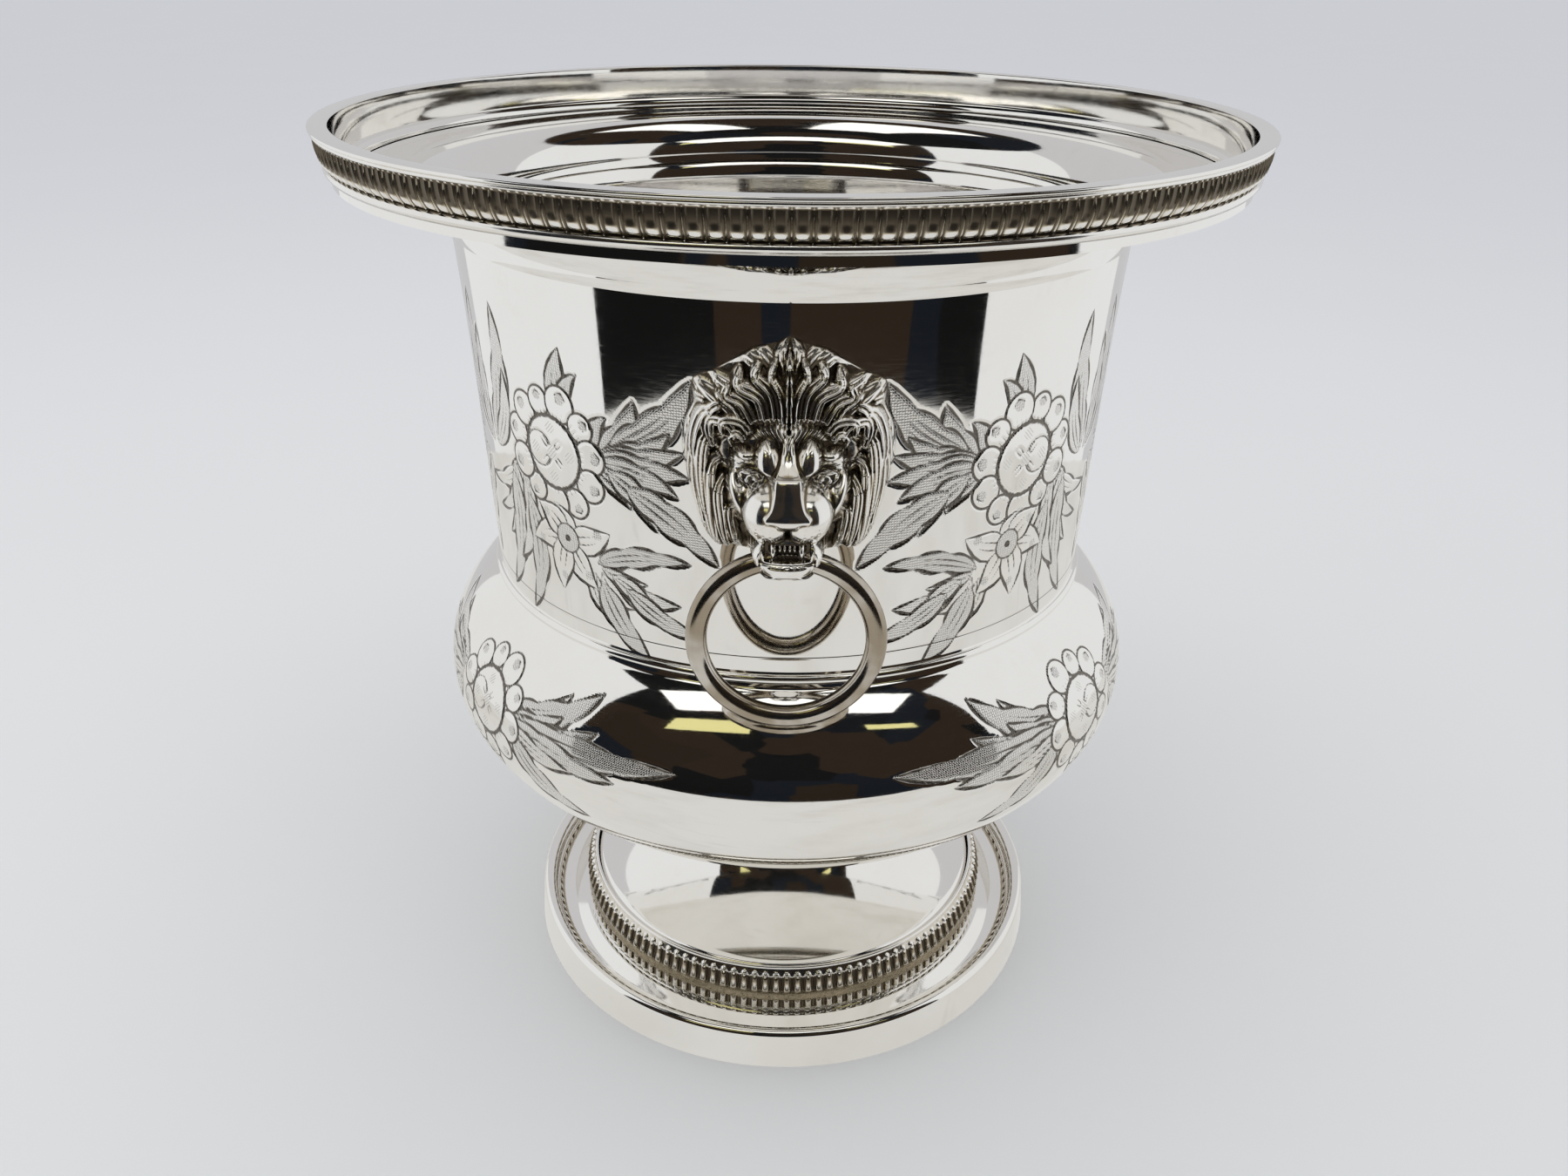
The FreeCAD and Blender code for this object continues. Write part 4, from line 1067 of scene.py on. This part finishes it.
def foot_ring():
    """The gadroon ring on the foot: beaded lobes, a plain band and a row of short lobes."""
    around = FOOT_FLUTES * FLUTE_STEPS
    down = np.linspace(0, 1, 60)
    swell = np.sin(np.pi / 2 * np.clip(down / 0.55, 0, 1)) ** 0.9
    radius = SKIRT + 1.2 + (FOOT_RING - SKIRT - 1.7) * swell
    radius -= 0.5 * smooth_share(down, 0.68, 0.74)
    height = RING_TOP - 0.9 + (RING_BOTTOM + 0.5 - RING_TOP + 0.9) * down
    body = np.stack([radius, height], 1)
    top = join_points((SKIRT + 0.15, RING_TOP - 1.2), (SKIRT + 0.15, RING_TOP - 0.3),
                      arc((SKIRT + 0.65, RING_TOP - 0.5), 0.45, 150, 10, 8))
    foot = join_points((FOOT_RING - 0.3, RING_BOTTOM + 0.3), (FOOT_RING - 0.3, RING_BOTTOM),
                       (SKIRT + 0.15, RING_BOTTOM))
    rows = turn_rows(np.concatenate([top, body, foot]), around)
    phase = (np.arange(around) / around * FOOT_FLUTES) % 1.0
    across = np.abs(phase - 0.5) * 2
    crown = np.sqrt(np.clip(1 - (across / 0.62) ** 2, 0, 1))
    dart = np.clip(1 - np.abs(across - 1.0) / 0.2, 0, 1)
    patina_and_shade = np.zeros(rows.shape[:2])
    out = turn_rows(np.array([[1.0, 0.0]]), around)[0]
    for index, t in enumerate(down):
        upper = smooth_share(t, 0.13, 0.17) * (1 - smooth_share(t, 0.42, 0.47))
        lower = smooth_share(t, 0.70, 0.75) * (1 - smooth_share(t, 0.92, 0.98))
        bead = np.sqrt(np.clip(1 - ((t - 0.085) / 0.045) ** 2 - (across / 0.55) ** 2, 0, 1))
        relief = (0.75 * crown + 0.4 * dart - 0.3) * upper + (0.75 * crown - 0.1) * lower
        rows[len(top) + index] += out * (relief + 0.7 * bead)[:, None]
        # Painted shade with patina: darker in the grooves between the lobes, on the plain band, at
        # the upper ends of the upper lobes and above them, and lighter on the beads.
        groove = np.clip(1.15 - 1.1 * crown - 0.5 * dart, 0, 1) * max(upper, lower)
        tip = 0.5 * upper * (1 - smooth_share(t, 0.22, 0.36))
        band = 0.62 * smooth_share(t, 0.42, 0.47) * (1 - smooth_share(t, 0.70, 0.75))
        patina_and_shade[len(top) + index] = np.clip(groove + band + tip + 0.35 * (t < 0.13) - bead, 0, 1)
    piece = smooth(grid_object("foot_gadroon_ring", rows), 60)
    set_points(piece, "patina_and_shade", patina_and_shade)
    return piece


# --- rings and masks -------------------------------------------------------------------------


def make_handle(end, worn):
    """The ring handle: a hoop of round wire, as the CAD node hangs."""
    low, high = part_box(f"ring_handle_{end}")
    centre = (low + high) / 2
    ring = (high.x - low.x) / 2 / MM - HANDLE_WIRE
    round_ring = np.linspace(0, 2 * math.pi, 160, endpoint=False)
    wire = np.linspace(0, 2 * math.pi, 40, endpoint=False)
    a, b = np.meshgrid(round_ring, wire, indexing="ij")
    reach = ring + HANDLE_WIRE * np.cos(b)
    rows = np.stack([reach * np.cos(a), HANDLE_WIRE * np.sin(b), reach * np.sin(a)], -1)
    rows += np.array(centre) / MM
    piece = smooth(grid_object(f"ring_handle_{end}", rows))
    dress(piece, worn, f"{end}_ring", "polished_silver", f"ring_handle_{end}")


def box_blur(values, reach):
    """A running mean down and round a grid of values."""
    padded = np.pad(values, ((reach, reach), (0, 0)), mode="edge")
    down = np.cumsum(np.pad(padded, ((1, 0), (0, 0))), axis=0)
    width = 2 * reach + 1
    values = (down[width:] - down[:-width]) / width
    padded = np.pad(values, ((0, 0), (reach, reach)), mode="wrap")
    turned = np.cumsum(np.pad(padded, ((0, 0), (1, 0))), axis=1)
    return (turned[:, width:] - turned[:, :-width]) / width


def make_mask(end, turn, cast):
    """The cast mask: its front over the outline, and a back that lies on the wall."""
    angle = np.linspace(math.pi / 2, -3 * math.pi / 2, MASK_ROUND, endpoint=False)
    folded = np.arctan2(np.sin(angle), np.abs(np.cos(angle)))
    reach = mask_outline(folded)
    share = np.linspace(0, 1, MASK_RINGS)[:, None]
    x = share * reach * np.cos(angle)
    z = MASK_CENTRE + share * reach * np.sin(angle)
    front, wall = mask_height(x, z)
    # Patina and painted shade: darker in the hollows of the casting, and less so on the eyes.
    hollows = (box_blur(front, 5) - front) / 0.42 + (box_blur(front, 2) - front) / 0.3
    eyes = np.exp(-((np.abs(x) - 7.6) / 3.8) ** 4 - ((z - 188.2) / 2.4) ** 4)
    patina_and_shade = np.clip(hollows, 0, 1) * (1 - 0.8 * eyes)
    back_share = np.linspace(1, 0, 16)[:, None]
    back_x = back_share * reach * np.cos(angle)
    back_z = MASK_CENTRE + back_share * reach * np.sin(angle)
    back = np.sqrt(wall_radius(back_z) ** 2 - back_x ** 2) - 0.05
    rows = np.concatenate([np.stack([x, -front, z], -1), np.stack([back_x, -back, back_z], -1)])
    piece = grid_object(f"lion_mask_{end}", rows, closed_down=False)
    set_points(piece, "patina_and_shade", np.concatenate([patina_and_shade, np.zeros(back_x.shape)]))
    clean(piece)
    bore_tunnel(piece)
    piece.data.transform(Matrix.Rotation(turn, 4, "Z"))
    smooth(piece, 75)
    dress(piece, cast, "bucket", "cast_silver", f"lion_mask_{end}")


def bore_tunnel(piece):
    """The hole through the mouth that the ring handle swings in."""
    pivot = Vector(joint_place("front_ring_swing"))
    work = bmesh.new()
    turn = Matrix.Translation(pivot) @ Matrix.Rotation(math.pi / 2, 4, "Y")
    bmesh.ops.create_cone(work, cap_ends=True, segments=48, radius1=TUNNEL * MM,
                          radius2=TUNNEL * MM, depth=TUNNEL_LENGTH * MM, matrix=turn)
    mesh = bpy.data.meshes.new("tunnel")
    work.to_mesh(mesh)
    work.free()
    cutter = bpy.data.objects.new("tunnel", mesh)
    scene.collection.objects.link(cutter)
    cutting = piece.modifiers.new("tunnel", "BOOLEAN")
    cutting.operation = "DIFFERENCE"
    cutting.object = cutter
    cutting.solver = "EXACT"
    bpy.context.view_layer.update()
    graph = bpy.context.evaluated_depsgraph_get()
    bored = bpy.data.meshes.new_from_object(
        piece.evaluated_get(graph), preserve_all_data_layers=True, depsgraph=graph)
    piece.modifiers.clear()
    piece.data = bored
    bpy.data.objects.remove(cutter)


def joint_place(name):
    for joint in frame["record"]["behaviour"]["joints"]:
        if joint["name"] == name:
            return joint["pos_m"]
    raise KeyError(name)


# --- studio ----------------------------------------------------------------------------------


def glow(name, colour, strength):
    material, nodes = new_material(name)
    nodes.surface(nodes.add("ShaderNodeEmission", Strength=strength, Color=(*colour, 1)))
    return material


def card(name, corners, material, seen_by_camera=False):
    """A flat stage card. Unless the camera sees it, only the silver's reflections do."""
    mesh = bpy.data.meshes.new(name)
    mesh.from_pydata(corners, [], [tuple(range(len(corners)))])
    piece = bpy.data.objects.new(name, mesh)
    scene.collection.objects.link(piece)
    mesh.materials.append(material)
    piece.visible_camera = seen_by_camera
    piece.visible_glossy = not seen_by_camera
    piece.visible_diffuse = seen_by_camera
    piece.visible_shadow = seen_by_camera
    piece.visible_transmission = False
    return piece


TABLE_WHITE = (0.78, 0.775, 0.755)
TABLE_WORN = (0.62, 0.61, 0.575)
TABLE_STREAK = (0.40, 0.39, 0.36)
BOOTH = 0.47
BOOTH_TOP = 0.70
BOOTH_CENTRE = -0.03
BOOTH_PANELS = 24
OPENING = math.radians(64)
ROOM_BACK = -1.9
FLOOR_REACH = 8.0
# Lamps in the booth's roof (left, right, near and far edges) and in the dark room before it
# (left, right, lower and upper edges).
ROOF_LAMPS = ((-0.13, -0.02, 0.02, 0.30), (0.055, 0.14, 0.02, 0.30), (-0.38, 0.38, -0.42, -0.25))
ROOM_LAMPS = ((-1.75, -0.45, 1.95, 2.60), (1.15, 2.10, 2.15, 2.40))


def tabletop_glow():
    """The pale table as the silver reflects it: a warm white with worn, dirty patches."""
    material, nodes = new_material("booth_table")
    place = nodes.add("ShaderNodeTexCoord").outputs["Object"]
    dirt = nodes.ramp(nodes.noise(place, 7.0, 5.0, 0.6), 0.42, 0.72)
    streaks = nodes.noise(nodes.stretched(place, (9.0, 60.0, 1.0)), 1.0, 4.0, 0.6)
    streaks = nodes.math("MULTIPLY", nodes.ramp(streaks, 0.60, 0.75), 0.30)
    colour = nodes.mix(nodes.math("MULTIPLY", dirt, 0.55), TABLE_WHITE, TABLE_WORN)
    colour = nodes.mix(streaks, colour, TABLE_STREAK)
    nodes.surface(nodes.add("ShaderNodeEmission", Strength=0.92, Color=colour))
    return material


def booth_place(reach, turn):
    return reach * math.sin(turn), BOOTH_CENTRE - reach * math.cos(turn)


def rectangle(left, right, low, high):
    return (left, low), (right, low), (right, high), (left, high)


def make_booth():
    """The round white booth that the silver reflects. Its front is open to a dark room."""
    table = tabletop_glow()
    side = glow("booth_side", (0.86, 0.87, 0.88), 0.93)
    rear = glow("booth_rear", (0.72, 0.72, 0.74), 0.80)
    turns = [2 * math.pi * index / 96 for index in range(96)]
    card("booth_table_card", [(*booth_place(BOOTH + 0.02, turn), 0) for turn in turns], table)
    share = (2 * math.pi - 2 * OPENING) / BOOTH_PANELS
    for index in range(BOOTH_PANELS):
        first = booth_place(BOOTH, OPENING + share * index)
        last = booth_place(BOOTH, OPENING + share * (index + 1))
        behind = abs(index + 0.5 - BOOTH_PANELS / 2) < BOOTH_PANELS / 5
        corners = [(*first, 0), (*last, 0), (*last, BOOTH_TOP), (*first, BOOTH_TOP)]
        card(f"booth_wall_card_{index + 1}", corners, rear if behind else side)
    white = glow("roof_lamp", (1.0, 0.99, 0.95), 1.25)
    for index, edges in enumerate(ROOF_LAMPS):
        corners = [(x, y, BOOTH_TOP) for x, y in rectangle(*edges)]
        card(f"roof_lamp_card_{index + 1}", corners, white)
    yellow = glow("room_lamp", (0.95, 0.88, 0.40), 0.85)
    for index, edges in enumerate(ROOM_LAMPS):
        corners = [(x, ROOM_BACK, z) for x, z in rectangle(*edges)]
        card(f"room_lamp_card_{index + 1}", corners, yellow)


def make_world():
    """A pale backdrop for the camera, soft light for the surfaces and a dark room in the
    silver's reflections, with dim brown and blue shapes in it."""
    world = bpy.data.worlds.new("studio")
    scene.world = world
    world.use_nodes = True
    nodes = Nodes(world.node_tree)
    direction = nodes.add("ShaderNodeTexCoord").outputs["Generated"]
    blocks = nodes.add("ShaderNodeTexVoronoi", {"distance": "CHEBYCHEV"}, Vector=direction,
                       Scale=2.6)
    hue = nodes.add("ShaderNodeSeparateColor", Color=blocks.outputs["Color"])
    brown = nodes.ramp(hue.outputs[0], 0.55, 0.62)
    blue = nodes.ramp(hue.outputs[1], 0.70, 0.76)
    room = nodes.mix(brown, (0.007, 0.007, 0.007), (0.026, 0.018, 0.012))
    room = nodes.mix(blue, room, (0.009, 0.011, 0.015))
    path = nodes.add("ShaderNodeLightPath")
    soft = nodes.add("ShaderNodeBackground", Strength=0.84)
    soft.inputs["Color"].default_value = (0.93, 0.95, 1.0, 1)
    dark = nodes.add("ShaderNodeBackground", Strength=1.0, Color=room)
    glossy = nodes.add("ShaderNodeMixShader")
    for index, value in enumerate((path.outputs["Is Glossy Ray"], soft.outputs[0], dark.outputs[0])):
        nodes.put(glossy, str(index), value)
    nodes.surface(glossy, "ShaderNodeOutputWorld")


def make_floor():
    """A plain pale floor with painted light falloff: a little darker far off than near the bucket,
    and faintly mottled.
    """
    material, nodes = new_material("floor")
    place = nodes.add("ShaderNodeTexCoord").outputs["Object"]
    distance = nodes.add("ShaderNodeVectorMath", {"operation": "LENGTH"})
    nodes.tree.links.new(place, distance.inputs[0])
    # Painted light falloff: lighter near the bucket, darker far off.
    far = nodes.ramp(distance.outputs["Value"], 0.3, 1.6)
    mottled = nodes.noise(place, 6.0, 3.0, 0.5)
    colour = nodes.mix(far, (0.80, 0.80, 0.785), (0.77, 0.77, 0.775))
    colour = nodes.mix(nodes.math("MULTIPLY", mottled, 0.12), colour, (0.68, 0.67, 0.655))
    shader = nodes.add("ShaderNodeBsdfPrincipled", Roughness=0.9)
    shader.inputs["Specular IOR Level"].default_value = 0.0
    nodes.put(shader, "Base Color", colour)
    nodes.surface(shader)
    corners = [(x, y, 0) for x, y in rectangle(-FLOOR_REACH, FLOOR_REACH, -FLOOR_REACH, FLOOR_REACH)]
    card("floor", corners, material, seen_by_camera=True)


def soft_light(name, place, size, power):
    """A broad lamp turned to the bucket's middle, which the silver doesn't reflect."""
    light = bpy.data.lights.new(name, "AREA")
    light.shape = "RECTANGLE"
    light.size, light.size_y = size
    light.energy = power
    holder = bpy.data.objects.new(name, light)
    holder.location = place
    aim = Vector((0, 0, 0.1)) - Vector(place)
    holder.rotation_euler = aim.to_track_quat("-Z", "Y").to_euler()
    holder.visible_glossy = False
    scene.collection.objects.link(holder)


CAMERA_PLACE = (0, -0.3398, 0.2915)
CAMERA_LENS = 29.08
CAMERA_PITCH = math.radians(27.67)
CAMERA_YAW = 0.0025
CAMERA_ROLL = 0.0125


def make_camera():
    """The camera a little above the rim, looking down at the bucket from close by."""
    data = bpy.data.cameras.new("camera")
    data.sensor_width = 36.0
    data.lens = CAMERA_LENS
    data.clip_start = 0.01
    camera = bpy.data.objects.new("camera", data)
    turn = Matrix.Rotation(CAMERA_YAW, 4, "Z") @ Matrix.Rotation(math.pi / 2 - CAMERA_PITCH, 4, "X")
    turn = turn @ Matrix.Rotation(CAMERA_ROLL, 4, "Z")
    camera.matrix_world = Matrix.Translation(CAMERA_PLACE) @ turn
    scene.collection.objects.link(camera)
    scene.camera = camera


def main():
    scene.view_settings.view_transform = "Standard"
    make_camera()
    make_world()
    make_booth()
    make_floor()
    soft_light("overhead", (0.0, -0.3, 1.4), (1.6, 1.2), 3.5)
    soft_light("left_side", (-1.3, -0.5, 0.9), (1.0, 0.8), 1.5)
    polished = silver("polished_silver")
    engraved = silver("engraved_silver", roughness=0.035, extra=cut_and_punched)
    cast = silver("cast_silver", roughness=0.12, wear=0.9, extra=recessed)
    worn = silver("worn_silver", roughness=0.09, wear=0.9, extra=handled)
    make_rim(polished, cast)
    make_wall(engraved, polished)
    make_foot(polished, cast)
    for end, turn in (("front", 0.0), ("back", math.pi)):
        make_mask(end, turn, cast)
        make_handle(end, worn)
    brass = silver("bare_brass", roughness=0.3, base=BRASS)
    for node in ("fixing_stud", "spreader_washer", "fixing_nut"):
        frame["nodes"][node].data.materials[0] = brass


main()
